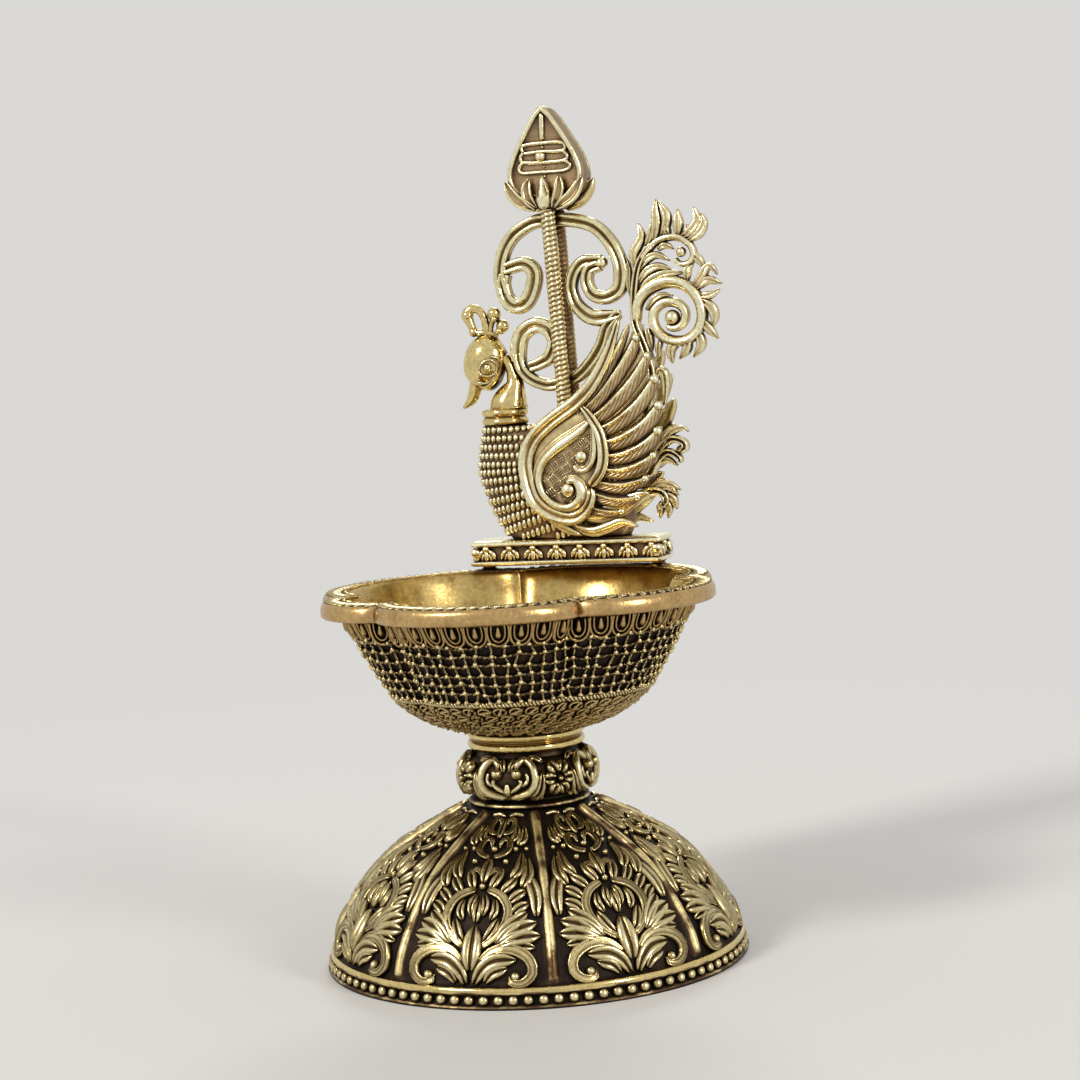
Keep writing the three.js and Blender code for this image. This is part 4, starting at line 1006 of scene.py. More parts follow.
# %% [markdown]
# ## The plinth behind the bowl
# The bird was cast on a narrow moulded block that stands on two small pads on the rim. Its
# frieze, between a lower and an upper fillet, has a row of budding flowers, and a bead post
# marks each corner. The block is a stack of rectangular rings with rounded corners.

# %% Plinth block
PLINTH = (0.65 + BIRD_X, BIRD_Y, 68.0)


def boxed_ring(x, y, z, corner=0.7, steps=6):
    """A rectangle with round corners, x and y its half sizes."""
    ring = []
    for quarter, (sx, sy) in enumerate([(1, 1), (-1, 1), (-1, -1), (1, -1)]):
        for a in math.pi / 2 * (quarter + np.arange(steps) / (steps - 1)):
            ring.append((PLINTH[0] + sx * (x - corner) + corner * math.cos(a),
                         PLINTH[1] + sy * (y - corner) + corner * math.sin(a), PLINTH[2] + z))
    return ring


layers = [(0, 4.2, 1), (0.08, 4.6, 1), (0.3, 4.85, 1), (0.6, 4.9, 1), (0.82, 4.75, 0.9), (0.95, 4.3, 0.4),
          (1.0, 3.8, 0), (1.1, 3.65, 0), (3.5, 3.65, 0), (3.6, 3.8, 0), (3.7, 4.3, 0.5), (3.85, 4.6, 0.9),
          (4.1, 4.8, 1), (4.45, 4.75, 1), (4.65, 4.5, 1), (4.8, 4.1, 1)]
block = rings_part(np.array([boxed_ring(y + 14.1, y, z) for z, y, _ in layers]), np.array(layers)[:, 2:])
piece("plinth_block", block, chased_brass, replaces=("plinth",), crease=28)

# %% Frieze flowers and corner posts
bud_flower = [leaf(flat_skin, [(0, 0.8), (0, -0.1), (0.05, -1.4)], 0.5, 0.75, 9, ROUND)]
for line, *sizes in [([(0.2, 0.7), (1.0, 0.2), (1.5, -0.9)], 0.46, 0.65, 8),
                     ([(0.1, 0.2), (0.6, -0.3), (0.8, -1.25)], 0.3, 0.5, 7)]:
    for side in (-1, 1):
        bud_flower.append(leaf(flat_skin, [(side * x, z) for x, z in line], *sizes, ROUND))
bud_flower.append(stud(flat_skin, (0, 0.95), 0.68, 1.05, 5, 10))
FACE_Y, END_X, FRIEZE_Z, PITCH = 3.6, 17.7, 70.2, 4.69
spots = [((1.3 + BIRD_X + PITCH * (k - 3.5), BIRD_Y + side * FACE_Y, FRIEZE_Z), (-side, 0, 0), (0, side, 0), 1.2)
         for k in range(8) for side in (-1, 1)]
spots += [((PLINTH[0] + side * END_X, BIRD_Y, FRIEZE_Z), (0, side, 0), (side, 0, 0), 1.2) for side in (-1, 1)]
scatter("frieze_flowers", spots, merged(bud_flower), chased_brass)
post = [(0.55, 69.1), (0.75, 69.4), (0.5, 69.8), (0.95, 70.2), (1.12, 70.7), (0.9, 71.2), (0.45, 71.5)]
corners = [(PLINTH[0] + sx * 17.9, BIRD_Y + sy * 3.85) for sx in (-1, 1) for sy in (-1, 1)]
piece("plinth_posts", merged([lathe(post, 14, at=corner) for corner in corners]), chased_brass)

# %% Pads under the plinth
pad = spline([(1.7, 66.9), (1.85, 67.15), (1.35, 67.45), (1.25, 67.7), (1.6, 68.0)], 14)
for foot, at in {"plinth_foot_left": (-15.4, 29.0), "plinth_foot_right": (18.2, 29.7)}.items():
    piece(foot + "_turned", lathe(pad, 24, at=at), smooth_brass, replaces=(foot,))

# %% [markdown]
# ## The peacock's body
# The body is a full breast that narrows to the throat. The real surface is covered with rows of
# small beads, round near the throat and tall ovals lower down, like scales. The body is skinned
# through a few measured outlines, and one low bead is set on it almost six hundred times by the
# node tree, each turned to its own patch of the surface.

# %% Body skin
SECTIONS = np.array([
    (72.8, -11, 13, 4.0), (75, -12.7, 14, 4.7), (78, -14.2, 14.2, 5.2), (82, -15.8, 13.8, 5.6),
    (86, -16.8, 12.4, 5.5), (89.5, -16.5, 8, 5.1), (92.2, -15.9, -0.5, 4.6), (94.8, -15.3, -6.9, 4.2)])
section_lines = spline(SECTIONS, 120)


def body_skin(q):
    z = q[:, 1]
    left, right_edge, deep = (np.interp(z, section_lines[:, 0], section_lines[:, k]) for k in (1, 2, 3))
    a = np.radians(q[:, 0])
    half, middle = (right_edge - left) / 2 - 0.35, (right_edge + left) / 2
    y = (deep - 0.35) * np.sign(np.sin(a)) * np.abs(np.sin(a)) ** 0.85
    return np.stack([middle + half * np.cos(a) + BIRD_X, BIRD_Y + y, z], 1)


turns = np.linspace(0, 360, 96, endpoint=False)
body_rings = np.array([body_skin(at_height(turns, z)) for z in np.linspace(72.8, 94.8, 56)])
piece("peacock_breast", rings_part(body_rings, 0.0), chased_brass, replaces=("peacock_body",))

# %% Bead scales
scales = []
rows_up = np.concatenate([np.linspace(68.4, 83.9, 9), np.linspace(85.7, 93.9, 6)])
dense = np.linspace(0, 360, 721)
for k, z in enumerate(rows_up):
    low = 1 - min(max(k - 3, 0) / 7, 1)
    level = body_skin(at_height(dense, max(z, 72.8)))[:, 0]
    ring_z = z + low * 0.3 * (level - level.min())
    far = lengths(body_skin(np.stack([dense, np.minimum(ring_z, 94.2)], 1)))
    count = int(far[-1] / 1.14)
    for a in np.interp((np.arange(count) + 0.5 * (k % 2)) / count * far[-1], far, dense):
        p, across, out, _ = upright(body_skin, [a], float(np.interp(a, dense, ring_z)), 1.0)[0]
        if 73.3 < p[2] < 94.3 and (p[2] > 83 or p[0] < 6.0):
            scales.append((p, across, out, (0.9, 1.18 + 0.36 * low, 1.0)))
scatter("breast_scales", scales, pearl(0.64, 6, 9, 0.95), chased_brass)

# %% [markdown]
# ## Collar, neck and head
# Two rings close the beaded breast. From them a smooth cone rises, bends back a little and
# carries the head, a polished egg with a ringed almond eye and a hooked beak. Smooth tubes with
# changing width are enough here: the shape is in the widths along the line.

# %% Helper for free tubes
def tube(line, widths, depths=None, count=40, sides=24):
    """A tube along points in x and z, with its own width and depth."""
    q = spline(line, count)
    w, d = even(widths, count)[:, None], even(depths or widths, count)[:, None]
    ahead = unit(np.gradient(q, axis=0))
    a = circle(sides)
    x = q[:, :1] + BIRD_X - ahead[:, 1:] * w * np.cos(a)
    z = q[:, 1:] + ahead[:, :1] * w * np.cos(a)
    return rings_part(np.stack([x, BIRD_Y + d * np.sin(a), z], 2), 1.0)


def plane_skin(y):
    return lambda q: np.stack([q[:, 0] + BIRD_X, np.full(len(q), float(y)), q[:, 1]], 1)


def far_side(part):
    """The same part on the far side of the bird."""
    points, faces, worn = part
    points = points * [1, -1, 1] + [0, 2 * BIRD_Y, 0]
    return points, [f[::-1] for f in faces], worn


def both_sides(parts):
    return merged([*parts, *[far_side(p) for p in parts]])


# %% Collar, neck and head
polished = {"finish": smooth_brass, "slot": "polished_brass"}
throat = spline([(3.7, 94.7), (4.3, 94.95), (4.5, 95.5), (4.2, 96.1), (3.95, 96.3), (4.2, 96.5), (4.5, 97.0),
                 (4.3, 97.6), (3.6, 97.9)], 40)
piece("throat_rings", lathe(throat, 72, at=(-11.05 + BIRD_X, BIRD_Y)), **polished, replaces=("neck_collar",))
neck = tube([(-10.1, 97.6), (-10.1, 98.5), (-9.3, 100.6), (-8.75, 102.4), (-8.85, 103.6), (-9.15, 104.9),
             (-9.7, 106.3), (-10.6, 107.5)], [3.7, 3.5, 2.9, 2.05, 1.35, 1.05, 1.05, 1.1],
            [3.6, 3.4, 2.9, 2.2, 1.7, 1.5, 1.5, 1.4], 48)
piece("neck_cone", neck, **polished, replaces=("neck",))
EGG = [(-12.4, 112.0), (-13.5, 109.3), (-14.5, 106.3), (-15.3, 101.6)]
EGG_WIDE = [0.4, 2.3, 3.4, 3.95, 4.2, 4.25, 4.2, 4.0, 3.5, 2.5, 0.6]
EGG_DEEP = [0.4, 2.1, 3.1, 3.6, 3.8, 3.8, 3.7, 3.5, 3.0, 2.1, 0.6]
beak = tube([(-16.0, 104.4), (-16.8, 101.8), (-17.5, 100.0), (-18.8, 98.7), (-19.4, 98.4)],
            [1.8, 1.35, 1.25, 1.15, 0.8, 0.3], [1.6, 1.35, 1.15, 0.95, 0.7, 0.3], 30, 22)
jaw = tube([(-15.6, 102.4), (-13.6, 102.2), (-11.9, 103.7), (-11.2, 105.2)], [0.5, 0.85, 0.75, 0.3],
           [1.6, 2.5, 2.4, 1.6], 20, 16)
piece("head_egg", merged([tube(EGG, EGG_WIDE, EGG_DEEP, 52, 40), beak, jaw]), **polished, replaces=("head",))

# %% Eyes
egg_x, egg_z = spline(EGG, 40)[::-1].T
egg_rows = (egg_x, even(EGG_WIDE, 40)[::-1], even(EGG_DEEP, 40)[::-1])


def face_skin(q):
    """Points in x and z, carried onto the near side of the head."""
    middle, wide, deep = (np.interp(q[:, 1], egg_z, row) for row in egg_rows)
    bulge = np.sqrt(np.clip(1 - ((q[:, 0] - middle) / wide) ** 2, 0.04, 1))
    return np.stack([q[:, 0] + BIRD_X, BIRD_Y - deep * bulge, q[:, 1]], 1)


eye = [
    vine(face_skin, [(-14.5, 105.2), (-13.9, 106.6), (-12.4, 107.3), (-11.4, 106.5), (-11.7, 105.0), (-12.9, 104.3),
                     (-14.2, 104.6), (-14.6, 105.4)], 0.24, 0.5, 30, sink=0.05),
    vine(face_skin, [(-12.1, 107.9), (-11.2, 107.6), (-10.8, 106.6)], 0.2, 0.42, 10),
    stud(face_skin, (-12.9, 105.8), 0.78, 0.7, 6, 16), stud(face_skin, (-12.9, 105.8), 0.34, 0.95, 4, 10),
    vine(face_skin, [(-15.2, 103.2), (-13.6, 103.0), (-12.3, 103.9), (-11.5, 105.0)],
         [0.16, 0.3, 0.28, 0.16], 0.42, 18),
]
piece("eyes", both_sides(eye), chased_brass, slot="polished_brass")


# %% Crest
def round_ball(x, z, r, y=BIRD_Y, squash=1.0):
    rings = ball_rings(-math.pi / 2 + 0.12, math.pi / 2 - 0.12, 9, 16)[..., [0, 2, 1]] * [1, squash, 1]
    return rings_part(rings * r + [x + BIRD_X, y, z], 1.0)


crest_parts = [
    tube([(-13.8, 110.8), (-13.9, 114.0), (-14.4, 115.8), (-15.3, 116.9), (-16.5, 117.1), (-17.6, 116.1),
          (-17.2, 114.9), (-16.5, 113.2)], [0.85, 0.72, 0.75, 0.75, 0.85, 1.1, 0.95, 0.7], None, 44, 14),
    tube([(-13.2, 110.8), (-12.9, 113.4), (-12.2, 115.2)], [0.75, 0.55, 0.6], None, 12, 10),
    tube([(-12.6, 110.7), (-11.8, 112.2), (-10.7, 113.2)], [0.75, 0.55, 0.6], None, 12, 10),
    tube([(-16.3, 112.6), (-14.6, 112.4), (-13.2, 112.2), (-11.9, 111.9)], [0.6, 0.7, 0.7, 0.6], None, 14, 10),
]
for x, z, r in [(-12.1, 115.9, 1.32), (-10.5, 113.5, 1.28), (-16.4, 112.7, 0.95), (-15.2, 112.1, 0.7),
                (-17.5, 115.9, 1.2)]:
    crest_parts.append(round_ball(x, z, r))
for x, z in [(-11.9, 114.9), (-11.0, 112.6)]:
    crest_parts += [round_ball(x, z, 0.62, BIRD_Y - 0.9), round_ball(x, z, 0.62, BIRD_Y + 0.9)]
piece("crest_curls", merged(crest_parts), **polished, replaces=("crest",))

# %% [markdown]
# ## The wings
# Each wing is one casting: a heart-shaped shoulder with a double-ridged border, a paisley strap
# that curls to two balls, a hatched field, and feathers that fan up and back. A feather is a
# long blade with a polished ridge and fine dull barbs. It is made as a grid whose height follows a
# rule, the blade's dome plus a smooth ridge that swells to the tip plus slanted barbs, which no
# bump map could show in profile. The near wing is drawn once and mirrored for the far side.

# %% Helper for a feather
WING_Y = BIRD_Y - 6.2


def feather(line, width, rise, y, barbs=11, count=72, cuts=19, bend=(0.0, 0.0)):
    """A closed blade with a ridge near its upper edge and slanted barbs on its front."""
    q = spline(line, count)
    ahead = unit(np.gradient(q, axis=0))
    t = np.linspace(0, 1, count)[:, None]
    w = width * np.interp(t, [0, 0.12, 0.45, 0.75, 0.93, 1], [0.5, 0.85, 1, 0.92, 0.6, 0.08])
    u = np.linspace(-1, 1, cuts)[None]
    ridge = np.exp(-((u - 0.52 + 0.3 * t ** 2) / (0.2 + 0.26 * t ** 2)) ** 2)
    barb = np.abs(np.sin(math.pi * (t * barbs - u * 2.3)))
    edge = np.clip(1 - np.abs(u) ** 4, 0, 1)
    height = rise * (0.32 + 0.3 * edge + 0.2 * barb * edge * (1 - ridge) + 0.72 * ridge * (0.7 + 0.3 * t))
    height = height * np.interp(t, [0, 0.1, 0.85, 1], [0.75, 1, 1, 0.5])
    deep = np.interp(t, [0, 0.5, 1], [0, bend[0], bend[1]])
    x = q[:, :1] + BIRD_X - ahead[:, 1:] * w * u
    z = q[:, 1:] + ahead[:, :1] * w * u
    front = np.stack([x, y + deep - height, z], 2)
    back = np.stack([x, y + deep + rise * 0.9 * (0.4 + 0.5 * edge) + 0 * z, z], 2)[:, ::-1]
    ring = np.concatenate([front, back[:, 1:-1]], 1)
    worn_front = 0.02 + 0.34 * barb * edge + 1.0 * ridge
    worn = np.concatenate([worn_front, np.full((count, cuts - 2), 0.6)], 1)
    return rings_part(ring, np.clip(worn, 0, 1))


# %% Shoulder plate
HEART = [(8.5, 95.9), (10.3, 92.5), (10.7, 88.2), (9.7, 85.2), (7.5, 82.4), (7.5, 80.6), (6.3, 78.4), (3.6, 76.6),
         (-0.7, 77.8), (-3.7, 80.3), (-4.9, 84.4), (-5.0, 88.5), (-3.2, 92.1), (0.5, 95.3), (5.0, 97.2)]


def shells(edge, middle, steps):
    """Rings of an outline, each shrunk towards the middle and set at its own y."""
    return np.array([plane_skin(y)(middle + (edge - middle) * shrink) for shrink, y in steps])


heart_edge = spline([*HEART, HEART[0]], 97)[:-1]
plate_back, plate_front = WING_Y + 1.3, WING_Y - 0.9
shoulder = rings_part(shells(heart_edge, heart_edge.mean(0), [
    (0.02, plate_back), (0.5, plate_back), (0.97, plate_back), (1.0, plate_back - 0.3), (1.0, plate_front + 0.3),
    (0.97, plate_front), (0.75, plate_front - 0.125), (0.4, plate_front - 0.225), (0.02, plate_front - 0.25)]), 0.42)
front = plane_skin(WING_Y - 0.85)
OUTER_BAND = [(7.4, 82.6), (7.6, 81.0), (6.5, 78.6), (3.6, 76.8), (-0.6, 77.9), (-3.6, 80.5), (-4.8, 84.4),
              (-4.9, 88.5), (-3.2, 92.1), (0.5, 95.3), (5.6, 98.6), (9.4, 102.6), (12.4, 107.8), (14.7, 113.6)]
BAND = [(-1, -0.2), (-0.95, 0.5), (-0.72, 0.93), (-0.4, 1.0), (-0.1, 0.8), (0.08, 0.42), (0.2, 0.4), (0.42, 0.78),
        (0.7, 0.85), (1, 0.3), (0.9, -0.5), (-0.9, -0.5)]
STRAP = [(-1, -0.1), (-0.95, 0.45), (-0.75, 0.88), (-0.4, 1.0), (0.0, 0.97), (0.35, 0.72), (0.5, 0.42), (0.62, 0.46),
         (0.85, 0.5), (1, 0.1), (0.9, -0.5), (-0.9, -0.5)]
wing_parts = [
    shoulder,
    vine(front, OUTER_BAND, [0.85, 1.25, 1.5, 1.5, 1.5, 1.5, 1.35, 1.05, 0.35], [1.15, 1.25, 1.3, 1.25, 1.15, 0.9],
         84, BAND),
    vine(front, [(7.3, 82.7), (9.4, 85.2), (10.3, 88.2), (9.9, 92.3), (8.2, 95.6), (6.4, 98.0)],
         [0.8, 1.1, 1.15, 1.05, 0.9, 0.4], [1.2, 1.3, 1.25, 0.9], 36, BAND),
    vine(front, [(8.3, 95.2), (5.2, 92.9), (1.0, 90.3), (-1.8, 87.6), (-2.8, 84.4), (-1.9, 81.3), (0.6, 79.1),
                 (3.4, 78.7), (5.6, 80.2), (5.7, 82.6), (4.5, 84.2), (2.6, 83.9)],
         [0.4, 1.25, 1.45, 1.25, 1.1, 0.95, 0.95, 1.1, 1.35, 1.1, 0.8], [0.9, 1.3, 1.3, 1.2], 72, STRAP),
    vine(front, [(8.3, 95.0), (8.6, 91.5), (8.3, 88.2), (7.0, 86.2), (5.4, 86.0), (4.6, 87.1)],
         [0.4, 0.62, 0.78, 0.78, 0.72, 0.6], [0.9, 1.2, 1.15], 40, STRAP),
    round_ball(5.9, 88.3, 1.35, WING_Y - 0.7), round_ball(3.0, 82.2, 1.6, WING_Y - 0.5),
]

# %% Hatched field of the wing
rng = np.random.default_rng(11)
field_edge = np.array([(8.0, 94.0), (5.2, 92.4), (1.2, 89.8), (-1.4, 87.2), (-2.2, 84.3), (-1.3, 81.8), (0.9, 79.8),
                       (3.2, 79.3), (4.8, 80.8), (6.6, 86.4), (8.2, 88.6), (8.6, 91.4)])


def in_field(p):
    """Whether a point lies inside the field's edge."""
    x, z = p
    hit = False
    for (x0, z0), (x1, z1) in zip(field_edge, np.roll(field_edge, 1, 0)):
        if (z0 > z) != (z1 > z) and x < (x1 - x0) * (z - z0) / (z1 - z0) + x0:
            hit = not hit
    return hit


# The strokes lie in groups of four, each group across its neighbours like a weave.
LEAN, PACE, GAP = 0.6, 1.75, 0.44
field = plane_skin(WING_Y - 1.02)
for i in range(-8, 9):
    for j in range(-8, 9):
        x = 3 + PACE * (i * math.cos(LEAN) - j * math.sin(LEAN))
        z = 86.5 + PACE * (i * math.sin(LEAN) + j * math.cos(LEAN))
        lean = -LEAN + math.pi / 2 * ((i + j) % 2) + rng.uniform(-0.14, 0.14)
        way = np.array([math.sin(lean), math.cos(lean)])
        for k in range(4):
            middle = np.array([x + GAP * (k - 1.5) * way[1], z - GAP * (k - 1.5) * way[0]])
            for reach in (0.88, 0.6, 0.35):
                ends = [middle - reach * way, middle, middle + reach * way]
                if all(map(in_field, ends)):
                    wing_parts.append(vine(field, ends, 0.14, 0.42, 6, ROUND[::2]))
                    break

# %% Feathers of the wing
FEATHERS = [
    ([(5.6, 96.2), (10.6, 102.4), (13.8, 107.6), (15.9, 112.4)], 1.0),
    ([(5.8, 95.4), (11.0, 100.0), (15.2, 105.6), (17.6, 110.6)], 1.35),
    ([(6.6, 93.8), (12.0, 97.2), (16.8, 102.2), (19.6, 107.2)], 1.5),
    ([(7.6, 92.0), (13.2, 94.2), (17.8, 98.0), (20.8, 102.8)], 1.6),
    ([(8.4, 89.9), (14.0, 91.0), (18.6, 93.9), (21.3, 97.9)], 1.6),
    ([(8.6, 87.6), (14.2, 88.0), (18.6, 90.2), (21.0, 93.2)], 1.5),
    ([(8.2, 85.4), (13.6, 85.0), (17.6, 86.4), (20.0, 88.6)], 1.4),
    ([(7.2, 83.4), (12.0, 82.3), (15.8, 82.8), (18.4, 84.2)], 1.3),
    ([(6.6, 81.4), (10.8, 79.9), (14.2, 79.8), (16.8, 80.6)], 1.15),
    ([(5.4, 79.2), (8.6, 77.9), (11.4, 77.6), (13.6, 77.9)], 0.95),
]
for k, (line, width) in enumerate(FEATHERS):
    wing_parts.append(feather(line, width, 1.15, WING_Y - 0.1 + 0.12 * (k % 2), bend=(0.2, 1.3)))
    if k > 0:
        x, z = line[-1] - 0.9 * unit(np.subtract(line[-1], line[-2]))
        wing_parts.append(round_ball(x, z, 0.85 if k in (3, 4, 5) else 0.68, WING_Y + 0.4))
near_wing = merged(wing_parts)
piece("wing_near_feathered", near_wing, chased_brass, replaces=("wing_near",))
piece("wing_far_feathered", far_side(near_wing), chased_brass, replaces=("wing_far",))

# %% Skirt leaves at the foot of the body
skirt_y = BIRD_Y - 5.3
skirt = [
    vine(plane_skin(skirt_y), [(-3.2, 78.6), (-0.8, 76.6), (1.6, 75.0), (4.6, 73.5)],
         [0.2, 0.9, 1.0, 0.3], 0.95, 22, STRAP),
    vine(plane_skin(skirt_y), [(1.8, 76.9), (4.4, 74.9), (7.2, 74.2), (10.2, 75.0), (12.8, 75.8), (15.8, 74.8)],
         [0.25, 0.95, 1.1, 1.0, 0.25], [0.9, 1.25, 1.0], 34, STRAP),
    vine(plane_skin(skirt_y), [(5.4, 76.6), (9.4, 77.4), (13.2, 79.0), (16.2, 80.6), (18.2, 81.0)],
         [0.4, 1.8, 2.2, 1.4, 0.3], [0.7, 1.05, 0.9], 34, STRAP),
]
near_skirt = merged(skirt)
piece("skirt_near", near_skirt, chased_brass, replaces=("skirt_leaf_near",))
piece("skirt_far", far_side(near_skirt), chased_brass, replaces=("skirt_leaf_far",))

# %% [markdown]
# ## The tail plume
# Behind the wings a stem rises and splits into two volutes with a fringe of leaves. It is an
# openwork casting with the same relief on both faces, so its strokes use a section that is
# grooved in front and behind. The strokes are short lists of points measured on the photograph,
# and the widths swell and taper as a modeller's wax thread does.


# %% Sections with two faces
def two_faced(face):
    """A section from its front half, with the same face behind."""
    return face + [(a, -b) for a, b in face[-2:0:-1]]


REEDED = two_faced([(-1, 0), (-0.97, 0.5), (-0.8, 0.88), (-0.54, 1.0), (-0.3, 0.86), (-0.1, 0.48), (0.1, 0.48),
                    (0.3, 0.86), (0.54, 1.0), (0.8, 0.88), (0.97, 0.5), (1, 0)])
TWIN = two_faced([(-1, 0), (-0.97, 0.5), (-0.82, 0.88), (-0.52, 1.0), (-0.24, 0.88), (-0.07, 0.52), (0.07, 0.52),
                  (0.24, 0.88), (0.52, 1.0), (0.82, 0.88), (0.97, 0.5), (1, 0)])
LEAFY = two_faced([(-1, 0), (-0.88, 0.6), (-0.5, 1.0), (-0.12, 0.68), (0.12, 0.68), (0.5, 1.0), (0.88, 0.6), (1, 0)])
PLUMP = two_faced([(-1, 0), (-0.9, 0.55), (-0.6, 0.92), (-0.2, 1.0), (0.3, 0.95), (0.62, 0.6), (0.8, 0.5), (1, 0)])
FROND_SWELL, FROND_DEPTH = np.array([0.45, 0.85, 1.0, 0.9, 0.6, 0.15]), np.array([0.8, 1, 1, 0.9, 0.75, 0.4])
middle = plane_skin(BIRD_Y)


def frond(line, width, depth, count=16):
    return vine(middle, line, FROND_SWELL * width, FROND_DEPTH * depth, count, LEAFY, tip=False)


# %% Stem and volutes
plume = [
    vine(middle, [(12, 87), (16.4, 94), (18.6, 101.7), (17.9, 106.7), (16.9, 109.8), (16.0, 112.4), (15.9, 116.1),
                  (16.3, 119.8), (17.1, 123.1), (18.6, 125.6), (20.6, 127.3)],
         [1.35, 1.35, 1.2, 1.0, 0.85, 0.85, 0.8, 0.75, 0.7, 0.6], [1.7, 1.8, 1.7, 1.6, 1.5], 90, REEDED),
    vine(middle, [(16.1, 112.6), (16.6, 116.2), (18.6, 118.6), (21.7, 119.8), (24.8, 119.5), (27.2, 117.8),
                  (28.5, 115.4), (28.7, 112.8), (27.7, 110.4), (25.7, 109.0), (23.0, 108.9), (20.6, 110.2),
                  (19.4, 112.4), (19.7, 114.6), (21.5, 116.0), (23.8, 115.9), (25.3, 114.6), (25.4, 112.8),
                  (24.3, 111.5), (22.8, 111.3), (21.9, 112.0)],
         [0.9, 1.15, 1.3, 1.2, 1.1, 1.1, 1.05, 1.0, 0.95, 0.95, 0.9, 0.7], [1.6, 1.8, 1.8, 1.6, 1.5, 1.3],
         140, PLUMP),
    round_ball(23.0, 113.2, 1.5, squash=1.2),
    vine(middle, [(17.6, 124.2), (18.9, 125.6), (20.6, 127.2), (22.9, 128.0), (25.2, 127.8), (27.1, 126.4),
                  (27.7, 124.5), (26.7, 123.1), (25.0, 123.1), (24.0, 124.2)],
         [0.5, 0.7, 0.75, 0.75, 0.72, 0.7, 0.6, 0.5], [1.4, 1.5, 1.4, 1.2], 76, PLUMP),
    round_ball(25.3, 125.2, 1.0, squash=1.3),
]

# %% Leaves of the plume
for line, width in [
    ([(18.2, 114.9), (19.6, 116.6), (21.4, 117.5), (23.4, 117.3)], 0.75),
    ([(21.0, 125.9), (22.4, 126.6), (24.0, 125.8)], 0.7),
    ([(17.2, 122.4), (18.9, 124.3), (20.8, 124.9), (23.1, 123.7)], 0.85),
    ([(16.9, 120.0), (18.8, 122.1), (21.1, 122.8), (23.6, 121.9)], 0.95),
    ([(17.0, 117.6), (19.0, 120.0), (22.2, 121.3), (25.9, 121.3)], 1.15),
    ([(16.6, 122.6), (16.3, 125.4), (17.9, 128.4), (17.4, 131.1)], 1.05),
    ([(18.8, 126.6), (19.7, 128.6), (20.3, 130.6), (20.4, 132.6)], 0.85),
    ([(20.4, 127.6), (20.9, 130.6), (20.9, 133.0), (21.1, 135.2)], 1.05),
    ([(22.0, 128.4), (22.8, 130.4), (22.9, 132.4), (21.6, 134.7)], 0.95),
    ([(23.2, 128.3), (22.9, 129.6), (23.4, 130.8)], 0.7),
    ([(24.9, 128.2), (25.1, 130.8), (25.1, 133.1)], 1.05),
    ([(26.2, 127.8), (27.0, 128.8), (26.7, 130.2)], 0.7),
    ([(25.6, 127.9), (27.6, 129.0), (28.8, 130.8), (28.2, 133.3)], 1.1),
    ([(26.9, 127.2), (29.0, 128.4), (30.0, 130.2), (29.6, 132.0)], 0.95),
    ([(26.2, 119.8), (26.4, 121.8), (27.6, 123.1)], 0.8), ([(27.4, 124.8), (28.8, 123.4), (29.7, 121.7)], 0.85),
    ([(27.2, 118.6), (29.0, 120.4), (29.9, 121.9), (31.0, 122.1), (32.0, 120.6)], 0.9),
    ([(27.9, 118.2), (30.1, 119.7), (32.8, 118.9)], 0.95), ([(28.4, 116.9), (30.4, 116.9), (32.3, 117.9)], 0.85),
    ([(28.6, 116.2), (30.6, 114.6), (31.1, 112.6), (30.2, 110.8)], 1.05),
    ([(28.6, 112.6), (30.2, 110.4), (31.6, 108.8)], 0.95), ([(27.8, 110.6), (28.3, 107.9), (26.7, 105.6)], 1.0),
    ([(26.0, 109.2), (25.5, 107.2), (24.0, 105.4)], 0.95), ([(24.0, 108.8), (22.4, 107.2), (22.6, 104.7)], 1.0),
    ([(18.2, 111.4), (18.5, 109.4), (18.8, 107.2)], 0.8), ([(20.6, 109.2), (20.0, 107.6), (20.0, 106.0)], 0.65),
    ([(15.9, 116.2), (15.1, 119.6), (15.2, 122.8), (14.6, 125.0)], 0.6),
    ([(18.2, 101), (20.4, 103.5), (21.0, 101.0), (20.6, 97.0)], 1.0),
]:
    plume.append(frond(line, width, 1.35, 22))
piece("plume", merged(plume), chased_brass, replaces=("tail_plume",))

# %% [markdown]
# ## Leaf curls behind the body
# Two sprays of leaves curl back from the foot of the tail. They carry on the plume's strokes at
# a smaller size, so the same helper draws them.

